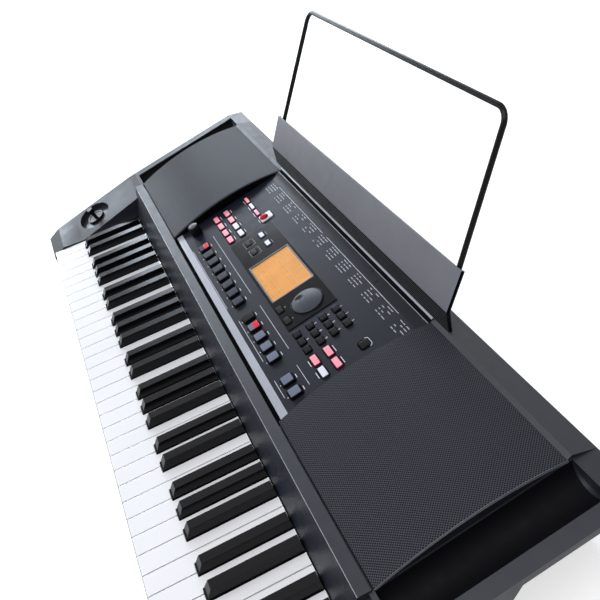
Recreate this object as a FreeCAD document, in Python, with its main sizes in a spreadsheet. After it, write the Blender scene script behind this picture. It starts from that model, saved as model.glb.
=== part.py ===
import FreeCAD, Part
import os
import re
from math import sin, sqrt, tan
from FreeCAD import Placement, Rotation, Vector

# Arranger keyboard with 61 keys.
# X runs to the player's right, Y from the player to the back, Z up. The origin lies under the middle
# of the overall box. Inside the pieces, depth is counted from the front of the case.

# Each row: name, value in mm or degrees, meaning.
CASE_CELLS = [
    ("case_width", 930, "overall width of the case"),
    ("case_depth", 386, "overall depth of the case"),
    ("foot_height", 5, "height of the rubber feet"),
    ("foot_radius", 9, "radius of a rubber foot"),
    ("foot_inset", 40, "feet in from the case edges"),
    ("foot_tuck", 45, "rear feet further in than the front ones"),
    ("wall", 3, "wall of the case shells"),
    ("fit_gap", 0.3, "running clearance"),
    ("pin_gap", 0.05, "clearance of a pin in its bore"),
    ("overrun", 5, "overrun of cuts"),
    ("split_height", 26, "height where the two shells meet"),
    ("lip_height", 6, "front lip of the bottom shell above the split"),
    ("nose_height", 43, "height of the cheek at the very front"),
    ("nose_depth", 20, "depth of the sloping nose"),
    ("nose_top", 55, "height of the cheek behind the nose"),
    ("bend_depth", 56, "depth where the cheek's inner edge bends up"),
    ("bend_height", 53.5, "height of the cheek's inner edge at that bend"),
    ("bend_rise", 11, "cheek's outer edge above that bend"),
    ("cheek_drop", 10.5, "cheek's inner edge below the rail's top"),
    ("left_cheek", 72, "cheek left of the keys"),
    ("right_cheek", 12, "cheek right of the keys"),
    ("rim_width", 15, "flat rim along the case sides"),
    ("rim_drop", 4.3, "side rim below the rail's top"),
    ("rail_foot", 150.5, "depth of the rail's lower front edge"),
    ("rail_clear", 3, "rail's lower edge above the white keys"),
    ("rail_lean", 15.5, "set-back of the rail's upper front edge"),
    ("rail_top", 98, "height of the rail's top face"),
    ("rail_back", 178.5, "depth of the rail's rear edge"),
    ("rear_rim", 24, "depth of the rim behind the ridge"),
    ("ridge_run", 4, "depth of the ridge's front slope"),
    ("rear_fall", 3, "fall of the rear rim to the back"),
    ("ridge_rise", 4.5, "ridge above the rear of the panel"),
    ("valley_depth", 18, "depth of the hollow beside the speakers"),
    ("flank_start", 205, "depth where the side walls begin to draw in"),
    ("flank_full", 275, "depth where the side walls are drawn in fully"),
    ("flank_inset", 50, "side walls drawn in at the floor"),
    ("flank_band", 8, "upright band under the rim"),
]
KEY_CELLS = [
    ("key_top", 52, "height of the white keys"),
    ("key_front", 4.5, "white key fronts behind the case front"),
    ("key_gap", 0.5, "inset of a key at each side"),
    ("slot_width", 14, "space between tails for a black key"),
    ("head_length", 49, "white key in front of the black keys"),
    ("black_length", 95, "visible length of a black key"),
    ("black_width", 12.6, "black key at its base"),
    ("black_top_width", 10.2, "black key at its top"),
    ("black_rise", 12, "black key above the white keys"),
    ("black_slope", 7, "set-back of the black key's sloping front"),
    ("black_lip", 2.5, "height of the black key's front lip"),
    ("key_height", 18, "height of a key's body"),
    ("key_skin", 2.2, "wall of a key"),
    ("key_reach", 200, "key front to pivot"),
    ("key_tail", 8, "key behind the pivot"),
    ("key_dip", 10, "travel at the key's front"),
    ("web_front", 102, "actuator web behind the case front"),
    ("web_length", 12, "length of the actuator web"),
    ("pivot_rib", 3, "thickness of the pivot rib"),
    ("pivot_depth", 8, "pivot rib inside the key"),
    ("pivot_gap", 0.8, "pivot rib's side clearance"),
]
CHASSIS_CELLS = [
    ("rest_rib", 4, "ribs under the key chassis"),
    ("chassis_plate", 3, "plate of the key chassis"),
    ("chassis_front", 12, "chassis behind the case front"),
    ("stop_front", 16, "key stop behind the case front"),
    ("stop_width", 12, "width of the key stop"),
    ("felt_thickness", 3, "felt on the key stop"),
    ("board_thickness", 1.6, "circuit boards"),
    ("contact_width", 34, "width of the key contact board"),
    ("strip_width", 20, "width of the rubber strip"),
    ("strip_thickness", 1.2, "base of the rubber strip"),
    ("dome_radius", 3, "rubber dome under a key"),
    ("dome_height", 4, "height of a rubber dome"),
    ("dome_inset", 1, "set-in of a dome's top"),
    ("post_width", 4, "posts under boards"),
    ("main_width", 220, "width of the main board"),
    ("main_depth", 90, "depth of the main board"),
    ("main_rear", 40, "main board in front of the case rear"),
]
SPEAKER_CELLS = [
    ("pod_margin", 56, "speaker pods in from the case sides"),
    ("pod_front", 180.5, "front of the speaker pods"),
    ("pod_rear", 358.5, "rear of the speaker pods"),
    ("pod_crown", 12, "crown of the pods above their chord"),
    ("grille_thickness", 1.5, "thickness of a grille"),
    ("pod_frame", 9, "seat around a speaker opening"),
    ("baffle_thickness", 3, "flange plate of a speaker frame"),
    ("baffle_seat", 9, "pod frame under the chord"),
    ("cone_radius", 52, "radius of a speaker cone"),
    ("cone_depth", 22, "depth of a speaker cone"),
    ("cone_skin", 1.5, "thickness of a cone"),
    ("basket_radius", 56, "radius of a speaker basket"),
    ("basket_wall", 2.5, "wall of a speaker basket"),
    ("basket_depth", 26, "depth of a speaker basket"),
    ("magnet_radius", 32, "radius of a speaker magnet"),
    ("magnet_depth", 14, "depth of a speaker magnet"),
]
PANEL_CELLS = [
    ("panel_front", 182.5, "front edge of the control panel"),
    ("panel_step", 4, "panel's front below the rail's top"),
    ("panel_tilt", 11.66, "tilt of the control panel"),
    ("panel_thickness", 2.5, "control panel plate"),
    ("panel_side", 0.5, "control panel to the pods"),
    ("panel_length", 177, "control panel along its slope"),
    ("lip_length", 5, "bevel along the panel's front"),
    ("lip_drop", 2, "fall of that bevel"),
    ("panel_seat", 6, "ledge under the panel's edge"),
    ("board_drop", 11, "panel board below the panel's face"),
    ("board_side", 11, "panel board in from the pods"),
    ("board_front", 12, "panel board behind the panel's front"),
    ("board_length", 150, "panel board along the slope"),
    ("bezel_middle", -5.2, "bezel's middle along X"),
    ("bezel_width", 205.6, "width of the display bezel"),
    ("bezel_length", 65.3, "bezel along the slope"),
    ("bezel_front", 57.2, "bezel behind the panel's front"),
    ("bezel_thickness", 1.2, "bezel plate"),
    ("screen_middle", -1, "display's middle along X"),
    ("screen_width", 81, "width of the display"),
    ("screen_length", 55, "display along the slope"),
    ("module_margin", 3, "display module around the display"),
    ("module_depth", 7, "depth of the display module"),
]
CONTROL_CELLS = [
    ("flange", 1.5, "button flange around the cap"),
    ("flange_thickness", 1.8, "thickness of a button flange"),
    ("button_pitch", 20.6, "spacing of buttons in a row"),
    ("row_pitch", 17.1, "spacing of button rows"),
    ("front_row", 27.9, "front row behind the panel's front"),
    ("second_row", 63, "second row behind the panel's front"),
    ("bank_margin", 20.5, "first bank column in from the left pod"),
    ("bank_inset", 16.7, "last bank column left of the bezel"),
    ("style_inset", 65, "first style button in from the left pod"),
    ("pad_inset", 24, "last button of that row in from the right pod"),
    ("memory_first", 160, "first memory button along X"),
    ("number_first", 110.5, "first number button along X"),
    ("number_pitch", 14.7, "spacing of number buttons"),
    ("select_first", -91.5, "first button left of the display"),
    ("select_pitch", 23.5, "spacing of the buttons beside the display"),
    ("select_row", 78.5, "front row of those buttons"),
    ("select_step", 21.5, "rear row behind that"),
    ("page_first", 59.6, "first page button along X"),
    ("bank_space", 4.6, "space between two bank buttons"),
    ("bank_length", 8, "bank button along the slope"),
    ("mode_length", 5, "mode button along the slope"),
    ("record_length", 18, "record button along the slope"),
    ("record_shift", 6.2, "record button behind its row"),
    ("style_width", 13, "style button along X"),
    ("style_length", 14, "style button along the slope"),
    ("style_rise", 4, "style button above the panel"),
    ("bank_rise", 2, "bank button above the panel"),
    ("number_width", 10, "number button along X"),
    ("number_length", 7.6, "number button along the slope"),
    ("number_rise", 2.5, "number button above the panel"),
    ("select_width", 12, "select button along X"),
    ("select_length", 7, "select button along the slope"),
    ("select_rise", 1.5, "select button above its surface"),
    ("power_inset", 27.5, "power button in from the right pod"),
    ("power_width", 11, "width of the power button"),
    ("wheel_middle", 73.8, "data wheel along X"),
    ("wheel_row", 94.5, "data wheel behind the panel's front"),
    ("wheel_radius", 18.5, "radius of the data wheel"),
    ("wheel_edge", 2, "edge of the wheel above the bezel"),
    ("wheel_dome", 2.2, "crown of the wheel above its edge"),
    ("dimple_radius", 6, "finger dimple of the wheel"),
    ("dimple_depth", 1.6, "depth of the finger dimple"),
    ("dimple_left", 9.5, "finger dimple left of the wheel's axis"),
    ("dimple_front", 6.5, "finger dimple in front of the wheel's axis"),
    ("shaft_radius", 3, "shafts of wheel and knob"),
    ("shaft_foot", 1, "shaft's end above the panel board"),
    ("knob_inset", 20, "volume knob in from the left pod"),
    ("knob_row", 30, "volume knob behind the panel's front"),
    ("knob_radius", 8, "radius of the volume knob"),
    ("knob_rise", 16, "volume knob above the panel"),
    ("knob_mark", 1.2, "width of the pointer groove"),
]
JOYSTICK_CELLS = [
    ("stick_inset", 32.5, "joystick in from the case's left side"),
    ("stick_depth", 87.5, "joystick behind the case front"),
    ("stick_tilt", 16, "tilt of the joystick's dish"),
    ("dish_radius", 28, "radius of the joystick's dish"),
    ("dish_floor", 62, "height of the dish's floor"),
    ("collar_radius", 14.5, "outside of the joystick's collar"),
    ("collar_bore", 12, "inside of the joystick's collar"),
    ("collar_rise", 4, "collar above the dish's floor"),
    ("housing_depth", 22, "joystick housing below the dish's floor"),
    ("housing_flange", 19, "radius of the housing's flange"),
    ("pivot_drop", 8, "joystick's pivot below the dish's floor"),
    ("gimbal_size", 8, "block of the gimbal"),
    ("gimbal_pin", 1.5, "radius of the gimbal's pins"),
    ("fork_thickness", 2.4, "prongs of the stick's fork"),
    ("fork_width", 7, "width of the stick's fork"),
    ("fork_head", 3, "bridge of the stick's fork"),
    ("stick_radius", 3, "radius of the stick"),
    ("stick_rise", 20, "stick above the dish's floor"),
    ("cap_radius", 5, "radius of the stick's cap"),
    ("cap_height", 6, "height of the stick's cap"),
]
REST_CELLS = [
    ("rest_width", 464, "width of the music rest"),
    ("rest_height", 157, "height where the rest begins to lean"),
    ("rest_base", 4.5, "thickness of the rest's base strip"),
    ("rest_plug", 10, "base strip inside its slot"),
    ("rest_lean", 27, "lean of the music rest"),
    ("plate_length", 45, "plate along its lean"),
    ("plate_thickness", 2.5, "thickness of the rest's plate"),
    ("wire_radius", 2.8, "radius of the rest's wire"),
    ("wire_rise", 189, "wire's top along the lean"),
    ("wire_inset", 8, "wire's feet in from the rest's ends"),
    ("wire_taper", 11.5, "wire's top in from its feet at each side"),
    ("wire_bend", 14, "radius of the wire's corners"),
    ("boss_size", 12, "bosses that hold the wire"),
    ("boss_length", 14, "length of those bosses"),
]
REAR_CELLS = [
    ("jack_height", 45, "height of the rear jacks"),
    ("jack_first", 84, "first jack along X"),
    ("jack_pitch", 32, "spacing of the jacks"),
    ("jack_bore", 3.25, "radius of a jack's bore"),
    ("jack_radius", 5.5, "radius of a jack's bushing"),
    ("jack_depth", 30, "depth of a jack's body"),
    ("jack_body", 14, "size of a jack's body"),
    ("inlet_x", -150, "power inlet along X"),
    ("inlet_radius", 4.5, "radius of the power inlet"),
    ("inlet_bore", 2.8, "radius of the inlet's bore"),
    ("inlet_pin", 1, "radius of the inlet's pin"),
    ("battery_x", 12, "battery cover's left edge along X"),
    ("battery_width", 190, "width of the battery cover"),
    ("battery_depth", 76, "depth of the battery opening"),
    ("battery_front", 245, "battery opening behind the case front"),
    ("battery_lap", 5, "cover around its opening"),
    ("cover_thickness", 2.4, "thickness of the battery cover"),
    ("boss_radius", 4.5, "screw bosses"),
    ("screw_radius", 1.5, "screw shanks"),
    ("screw_head", 3, "screw heads"),
    ("head_height", 2, "height of a screw head"),
    ("screw_reach", 14, "screw above the split"),
    ("screw_inset", 25, "side screws in from the case sides"),
    ("screw_front", 24, "front screw behind the case front"),
    ("screw_middle", 228, "middle screws behind the case front"),
    ("screw_tuck", 25, "middle screws further in than the front one"),
    ("screw_rear", 14, "rear screws in front of the case rear"),
    ("screw_pod", 9, "rear screws inside the pods' outer sides"),
]
TABLES = [CASE_CELLS, KEY_CELLS, CHASSIS_CELLS, SPEAKER_CELLS, PANEL_CELLS, CONTROL_CELLS,
          JOYSTICK_CELLS, REST_CELLS, REAR_CELLS]

OCTAVES = 5
WHITE_PER_OCTAVE = 7
WHITE_KEYS = OCTAVES * WHITE_PER_OCTAVE + 1
LOW_GROUP = 3
HIGH_GROUP = WHITE_PER_OCTAVE - LOW_GROUP
BUTTONS_IN_ROW = 8
BANK_COLUMNS = 4
BOTH_SIDES = (-1, 1)

doc = FreeCAD.newDocument("arranger_keyboard")
sheet = doc.addObject("Spreadsheet::Sheet", "dims")
NAMES = set()
for table in TABLES:
    for name, value, meaning in table:
        line = len(NAMES) + 1
        sheet.set(f"A{line}", meaning)
        sheet.set(f"B{line}", str(value))
        sheet.setAlias(f"B{line}", name)
        NAMES.add(name)
doc.recompute()

# Lengths that several pieces share, written in the sheet's names.
KEY_SPAN = "(case_width - left_cheek - right_cheek)"
WHITE_PITCH = f"({KEY_SPAN}/{WHITE_KEYS})"
KEY_LEFT = "(left_cheek - case_width/2)"
KEY_RIGHT = f"({KEY_LEFT} + {KEY_SPAN})"
BLACK_FRONT = "(key_front + head_length)"
KEY_UNDER = "(key_top - key_height)"
PIVOT = "(key_front + key_reach)"
BANK_LAST = "(bezel_middle - bezel_width/2 - bank_inset)"
ROW_SPAN = f"({BUTTONS_IN_ROW - 1}*button_pitch)"
POD_INNER = f"(bank_margin - {BANK_LAST} + {BANK_COLUMNS - 1}*button_pitch)"
POD_OUTER = "(case_width/2 - pod_margin)"
BANK_WIDTH = "(button_pitch - bank_space)"
BOARD_WIDTH = f"(2*{POD_INNER} - 2*board_side)"
KNOB_X = f"(knob_inset - {POD_INNER})"
STICK_X = "(case_width/2 - stick_inset)"
SCREW_SIDE = "(case_width/2 - screw_inset)"
SCREW_TUCKED = "(case_width/2 - screw_inset - screw_tuck)"
SCREW_POD = f"({POD_OUTER} - screw_pod)"
RAIL_EDGE = "(rail_foot + rail_lean)"
RAIL_FOOT_Z = "(key_top + rail_clear)"
PANEL_Z = "(rail_top - panel_step)"
PANEL_REAR = "(panel_front + panel_length*cos(panel_tilt))"
PANEL_REAR_Z = "(rail_top - panel_step + panel_length*sin(panel_tilt))"
PLATE_BACK = "panel_thickness*sin(panel_tilt)"
PLATE_DROP = "panel_thickness*cos(panel_tilt)"
RIDGE = "(case_depth - rear_rim)"
RIDGE_Z = f"({PANEL_REAR_Z} + ridge_rise)"
FLOOR_TOP = "(foot_height + wall)"
REST_Y = f"({RIDGE} + 2*fit_gap)"
WIRE_OFFSET = "(plate_thickness + wire_radius + fit_gap)"
OVERALL_DEPTH = (f"({REST_Y} + wire_rise*sin(rest_lean) + {WIRE_OFFSET}*cos(rest_lean)"
                 " + wire_radius)")
Y_ZERO = f"(-{OVERALL_DEPTH}/2)"


def ex(text):
    """Writes a formula in the sheet's own names."""
    return re.sub(r"[A-Za-z_]\w*", lambda word: name_in_sheet(word.group(0)), text)


def name_in_sheet(word):
    return f"dims.{word}" if word in NAMES else word


def num(text):
    """Gives the present value of a formula."""
    return float(sheet.evalExpression(ex(text)))


def bind(item, prop, text):
    item.setExpression(prop, ex(text))


DEPTH_OF = {}


def box(name, x, y, z, length, width, height):
    """A block with its least corner at x, y, z."""
    item = doc.addObject("Part::Box", name)
    DEPTH_OF[item.Name] = y
    for prop, text in (("Length", length), ("Width", width), ("Height", height)):
        bind(item, prop, text)
    for axis, text in (("x", x), ("y", y), ("z", z)):
        bind(item, f"Placement.Base.{axis}", text)
    return item


def rod(name, x, y, z, radius, height, direction=Vector(0, 0, 1)):
    """A cylinder from x, y, z along a direction."""
    item = doc.addObject("Part::Cylinder", name)
    item.Placement = Placement(Vector(), Rotation(Vector(0, 0, 1), direction))
    bind(item, "Radius", radius)
    bind(item, "Height", height)
    for axis, text in (("x", x), ("y", y), ("z", z)):
        bind(item, f"Placement.Base.{axis}", text)
    return item


def group(kind, name, items):
    item = doc.addObject(kind, name)
    if kind == "Part::Compound":
        item.Links = items
    else:
        item.Shapes = items
    return item


def join(name, items):
    return group("Part::MultiFuse", name, items)


def gather(name, items):
    return group("Part::Compound", name, items)


def cut(name, base, tool):
    item = doc.addObject("Part::Cut", name)
    item.Base = base
    item.Tool = tool
    return item


def solid(name, shape):
    """A piece whose shape is set here; a shape with a place of its own keeps it inside a compound."""
    item = doc.addObject("Part::Feature", name)
    item.Shape = shape if shape.Placement.isIdentity() else Part.makeCompound([shape])
    return item


PARTS = []


def part(label, item):
    """Names a finished piece and sets it in the case's frame."""
    item.Label = label
    bind(item, "Placement.Base.y", f"{DEPTH_OF.get(item.Name, '0')} + {Y_ZERO}")
    PARTS.append(item)
    return item


def tilted_part(label, item, x, y, z, angle):
    """Names a piece that is built flat, and lays it on its tilted plane."""
    item.Label = label
    item.Placement = Placement(Vector(), Rotation(Vector(1, 0, 0), num(angle)))
    bind(item, "Placement.Rotation.Angle", angle)
    bind(item, "Placement.Base.x", x)
    bind(item, "Placement.Base.y", f"{y} + {Y_ZERO}")
    bind(item, "Placement.Base.z", z)
    PARTS.append(item)
    return item


def panel_part(label, item):
    return tilted_part(label, item, "0", "panel_front", PANEL_Z, "panel_tilt")


def outline(points):
    """A closed face in the plane of depth and height."""
    corners = [Vector(0, num(y), num(z)) for y, z in points]
    return Part.Face(Part.makePolygon(corners + corners[:1]))


def prism(points, left, right):
    """An outline in depth and height, carried from left to right."""
    start = num(left)
    face = outline(points).translated(Vector(start, 0, 0))
    return face.extrude(Vector(num(right) - start, 0, 0))


def between(points_a, x_a, points_b, x_b):
    """A solid with straight sides between two outlines."""
    wires = []
    for points, x in ((points_a, x_a), (points_b, x_b)):
        corners = [Vector(num(x), num(y), num(z)) for y, z in points]
        wires.append(Part.makePolygon(corners + corners[:1]))
    return Part.makeLoft(wires, True, True)


def mirrored(shape):
    return shape.mirror(Vector(0, 0, 0), Vector(1, 0, 0))


def block(x0, x1, y0, y1, z0, z1):
    low = Vector(num(x0), num(y0), num(z0))
    high = Vector(num(x1), num(y1), num(z1))
    size = high - low
    return Part.makeBox(size.x, size.y, size.z, low)


# Outlines of the case.

DECK_UNDER = f"({PANEL_Z} - panel_thickness - wall)"
CHORD_FRONT = "rail_top"
CHORD_REAR = f"({PANEL_REAR_Z} + panel_thickness/2)"
POD_LENGTH = "(pod_rear - pod_front)"
POD_SLOPE = f"(({CHORD_REAR} - {CHORD_FRONT})/{POD_LENGTH})"


def crown_face(sink):
    """The outline under the speaker pod's crown, lowered by sink."""
    front = Vector(0, num("pod_front"), num(CHORD_FRONT) - sink)
    rear = Vector(0, num("pod_rear"), num(CHORD_REAR) - sink)
    middle = (front + rear) / 2 + Vector(0, 0, num("pod_crown"))
    arc = Part.Arc(front, middle, rear).toShape()
    low_rear = Vector(0, rear.y, num("split_height"))
    low_front = Vector(0, front.y, num("split_height"))
    sides = [Part.makeLine(rear, low_rear), Part.makeLine(low_rear, low_front),
             Part.makeLine(low_front, front)]
    return Part.Face(Part.Wire([arc] + sides))


def pod(sink, left, right):
    start = num(left)
    face = crown_face(sink).translated(Vector(start, 0, 0))
    return face.extrude(Vector(num(right) - start, 0, 0))


def grille_skin():
    """The grille on the right speaker pod."""
    return pod(0, POD_INNER, POD_OUTER).cut(pod(num("grille_thickness"), "0", "case_width"))


RIM_SLOPE = f"(({PANEL_REAR_Z} - rail_top + rim_drop)/({RIDGE} - {RAIL_EDGE}))"
RIM_AT_RAIL_BACK = f"(rail_top - rim_drop + {RIM_SLOPE}*(rail_back - {RAIL_EDGE}))"


def rim_outline():
    """Side view of the rim behind the cheek."""
    front = "rail_back - wall"
    return [(front, "split_height"), (front, f"{RIM_AT_RAIL_BACK} - wall*{RIM_SLOPE}"), (RIDGE, PANEL_REAR_Z),
            ("case_depth", f"{PANEL_REAR_Z} - rear_fall"), ("case_depth", "split_height")]


def cheek_outline(bend, edge, back, sink, inset):
    """Side view of a cheek: heights of its top at the bend, at the rail and behind the rail."""
    return [(inset, "split_height - overrun"), (inset, f"nose_height - {sink}"),
            (f"nose_depth + {inset}/2", f"nose_top - {sink}"), ("bend_depth", f"{bend} - {sink}"),
            (RAIL_EDGE, f"{edge} - {sink}"),
            (f"rail_back - {inset}", f"{back} - {sink}"),
            (f"rail_back - {inset}", "split_height - overrun")]


def cheek(sink, inset, inner, outer):
    """The cheek in front of the rim: low beside the keys, high at the outer side."""
    low = cheek_outline("bend_height", "(rail_top - cheek_drop)", "(rail_top - cheek_drop)", sink, inset)
    high = cheek_outline("(bend_height + bend_rise)", "(rail_top - rim_drop)", RIM_AT_RAIL_BACK, sink, inset)
    return between(low, inner, high, outer)


def centre_outline():
    """Side view of the rail, the deck under the panel and the rear ridge."""
    return [("rail_foot", "split_height"), ("rail_foot", RAIL_FOOT_Z), (RAIL_EDGE, "rail_top"),
            ("rail_back", "rail_top"), ("rail_back", f"{PANEL_Z} - panel_thickness"),
            (f"panel_front + {PLATE_BACK}", f"{PANEL_Z} - {PLATE_DROP}"),
            (f"{PANEL_REAR} + {PLATE_BACK}", f"{PANEL_REAR_Z} - {PLATE_DROP}"),
            (f"{PANEL_REAR} + fit_gap", PANEL_REAR_Z),
            (f"{RIDGE} - ridge_run", f"{PANEL_REAR_Z} + ridge_rise/3"),
            (RIDGE, RIDGE_Z), ("case_depth", f"{PANEL_REAR_Z} - rear_fall"), ("case_depth", "split_height")]


def rail_hollow():
    """The space under the rail."""
    return [("rail_foot - overrun", "split_height - overrun"), ("rail_foot - overrun", RAIL_FOOT_Z),
            ("rail_foot + wall", RAIL_FOOT_Z), (f"{RAIL_EDGE} + wall", "rail_top - wall"),
            ("rail_back - wall", "rail_top - wall"), ("rail_back - wall", "split_height - overrun")]


def centre_hollow():
    """The space under the deck and the ridge."""
    return [("rail_back - 2*wall", "split_height - overrun"), ("rail_back - 2*wall", DECK_UNDER),
            ("panel_front", DECK_UNDER), (PANEL_REAR, f"{PANEL_REAR_Z} - rest_plug - 2*wall"),
            ("case_depth - wall", f"{PANEL_REAR_Z} - rest_plug - 2*wall"),
            ("case_depth - wall", "split_height - overrun")]


def pod_hollow():
    """The space under a speaker pod, with a flat seat for the speaker's flange."""
    return [("pod_front + wall", "split_height - overrun"),
            ("pod_front + wall", f"{CHORD_FRONT} + wall*{POD_SLOPE} - baffle_seat"),
            ("pod_rear - wall", f"{CHORD_REAR} - wall*{POD_SLOPE} - baffle_seat"),
            ("pod_rear - wall", "split_height - overrun")]


def rear_hollow():
    """The space behind the speaker pods."""
    top = f"{PANEL_REAR_Z} - rest_plug - 2*wall"
    return [("pod_rear + wall", "split_height - overrun"), ("pod_rear + wall", top),
            ("case_depth - wall", top), ("case_depth - wall", "split_height - overrun")]


def side_hollow():
    """The space under the valley beside a speaker pod."""
    top = "(valley_depth + wall)"
    return [("rail_back + wall", "split_height - overrun"),
            ("rail_back + wall", f"{RIM_AT_RAIL_BACK} - {top}"),
            (RIDGE, f"{PANEL_REAR_Z} - {top}"),
            ("case_depth - wall", f"{PANEL_REAR_Z} - {top} - rear_fall"),
            ("case_depth - wall", "split_height - overrun")]


def key_well():
    """Everything in front of the rail's sloping face and under the rail, between the cheeks."""
    lean = f"rail_lean/(rail_top - {RAIL_FOOT_Z})"
    front = [("-overrun", "split_height - overrun"), ("-overrun", "2*rail_top"),
             (f"rail_foot + {lean}*(2*rail_top - {RAIL_FOOT_Z})", "2*rail_top"),
             ("rail_foot", RAIL_FOOT_Z), ("rail_foot", "split_height - overrun")]
    left = f"{KEY_LEFT} - key_gap"
    right = f"{KEY_RIGHT} + key_gap"
    under = block(left, right, "rail_foot - overrun", f"{PIVOT} + key_tail + wall",
                  "split_height - overrun", RAIL_FOOT_Z)
    return prism(front, left, right).fuse(under)


def valley():
    """Round-bottomed hollow between a speaker pod and the rim, along the rim's slope."""
    lane_half = num("(pod_margin - rim_width)/2")
    half = lane_half - num("fit_gap")
    depth = num("valley_depth")
    radius = (half * half + depth * depth) / (2 * depth)
    slope = num(RIM_SLOPE)
    along = Vector(0, 1, slope)
    along.normalize()
    start = Vector(num(POD_OUTER) + lane_half, num("pod_front"),
                   num(RIM_AT_RAIL_BACK) + slope * num("pod_front - rail_back"))
    upright = Vector(0, -along.z, along.y)
    axis = start + upright * (radius - depth)
    tube = Part.makeCylinder(radius, num(f"{RIDGE} - pod_front") / along.y, axis, along)
    lane = block(POD_OUTER, "case_width/2 - rim_width", "pod_front", "case_depth", "0", "2*rail_top")
    return tube.common(lane)


def beyond(corners, shift):
    """Everything on the right of a plane through three corners, moved in by shift."""
    first, second, third = corners
    normal = (second - first).cross(third - first)
    normal = normal * (1 if normal.x > 0 else -1)
    normal.normalize()
    reach = num("2*case_width")
    space = Part.makeBox(reach, reach, reach, Vector(-reach / 2, -reach / 2, 0))
    space.Placement = Placement(first - normal * num(shift), Rotation(Vector(0, 0, 1), normal))
    return space


def flank(shift):
    """What the right side wall leaves free where it draws in towards the floor."""
    side = num("case_width/2")
    depth = num("flank_full")
    height = num(f"{RIM_AT_RAIL_BACK} + {RIM_SLOPE}*(flank_full - rail_back) - flank_band")
    top = Vector(side, depth, height)
    foot = Vector(side - num("flank_inset"), depth, 0)
    rearward = top + Vector(0, 1, num(RIM_SLOPE)) * num("overrun")
    start = Vector(side, num("flank_start"), 0)
    return beyond((top, foot, rearward), shift).common(beyond((top, foot, start), shift))


def dish_frame():
    """Placement of the joystick's dish: middle of its floor, tilted with the cheek."""
    base = Vector(-num(STICK_X), num("stick_depth"), num("dish_floor"))
    return Placement(base, Rotation(Vector(1, 0, 0), num("stick_tilt")))


def dish(radius, low, high):
    shape = Part.makeCylinder(num(radius), num(high) - num(low), Vector(0, 0, num(low)))
    shape.Placement = dish_frame()
    return shape


SCREW_PLACES = [(f"-{SCREW_SIDE}", "screw_front"), (f"-{SCREW_TUCKED}", "screw_middle"),
                (SCREW_TUCKED, "screw_middle"), (f"-{SCREW_POD}", "case_depth - screw_rear"),
                (SCREW_POD, "case_depth - screw_rear")]


def post(x, y, z0, z1, radius):
    return Part.makeCylinder(num(radius), num(z1) - num(z0), Vector(num(x), num(y), num(z0)))


JACKS = 4


def rear_hole(x, radius):
    """A hole through the rear wall at the height of the sockets."""
    start = Vector(num(x), num("case_depth - wall - overrun"), num("jack_height"))
    return Part.makeCylinder(num(radius), num("wall + 2*overrun"), start, Vector(0, 1, 0))


def make_top_case():
    """Upper shell: cheeks, rail, deck, speaker pods, side valleys and rear wall."""
    side = prism(rim_outline(), POD_OUTER, "case_width/2")
    covered = pod(0, POD_INNER, POD_OUTER)
    centre = prism(centre_outline(), f"-{POD_OUTER}", POD_OUTER).cut([covered, mirrored(covered)])
    pods = pod(num("grille_thickness"), POD_INNER, POD_OUTER)
    shoulder = cheek("0", "0", f"-{KEY_LEFT} + key_gap", "case_width/2")
    outer = centre.multiFuse([side, mirrored(side), pods, mirrored(pods), shoulder, mirrored(shoulder)])
    below = block("-case_width", "case_width", "-case_depth", "2*case_depth", "-overrun", "split_height")
    outer = outer.cut([below, flank("0"), mirrored(flank("0"))])
    bosses = [post(x, y, "split_height", "2*rail_top", "boss_radius") for x, y in SCREW_PLACES]
    cup = dish("dish_radius + wall", "-wall", "rail_top")
    kept = [outer.common(shape) for shape in bosses + [cup]]
    rail_space = prism(rail_hollow(), f"-{POD_OUTER} + wall", f"{POD_OUTER} - wall")
    centre_space = prism(centre_hollow(), f"-{POD_INNER}", POD_INNER)
    side_space = prism(side_hollow(), f"{POD_OUTER} - 2*wall", "case_width/2 - wall").cut(flank("wall"))
    rear_space = prism(rear_hollow(), f"-{POD_OUTER} + wall", f"{POD_OUTER} - wall")
    cheek_space = mirrored(cheek("wall", "wall", f"-{KEY_LEFT} + key_gap + wall", "case_width/2 - wall"))
    opening = block(f"{POD_INNER} + pod_frame", f"{POD_OUTER} - pod_frame", "pod_front + pod_frame",
                    "pod_rear - pod_frame", "split_height", "2*rail_top")
    pod_space = prism(pod_hollow(), f"{POD_INNER} + wall", f"{POD_OUTER} - wall")
    window = block(f"-{POD_INNER} + panel_seat", f"{POD_INNER} - panel_seat", "panel_front + panel_seat",
                   f"{PANEL_REAR} - panel_seat", "split_height", "2*rail_top")
    spaces = [rail_space, centre_space, rear_space, side_space, mirrored(side_space), cheek_space, opening,
              mirrored(opening), pod_space, mirrored(pod_space), window]
    shell = outer.cut(spaces).multiFuse(kept)
    slot = block("-rest_width/2 - fit_gap", "rest_width/2 + fit_gap", f"{REST_Y} - fit_gap",
                 f"{REST_Y} + rest_base + fit_gap", f"{PANEL_REAR_Z} - rest_plug - fit_gap", "2*rail_top")
    hollows = [key_well(), valley(), mirrored(valley()), slot, dish("dish_radius", "0", "rail_top"),
               dish("collar_radius + fit_gap", "-2*wall", "0")]
    holes = [rear_hole(f"jack_first + {place}*jack_pitch", "jack_radius + fit_gap") for place in range(JACKS)]
    holes.append(rear_hole("inlet_x", "inlet_radius + fit_gap"))
    bores = [post(x, y, "split_height", "split_height + screw_reach + fit_gap", "screw_radius + pin_gap")
             for x, y in SCREW_PLACES]
    part("top_case", solid("top_case", shell.cut(hollows + holes + bores).removeSplitter()))


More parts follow.
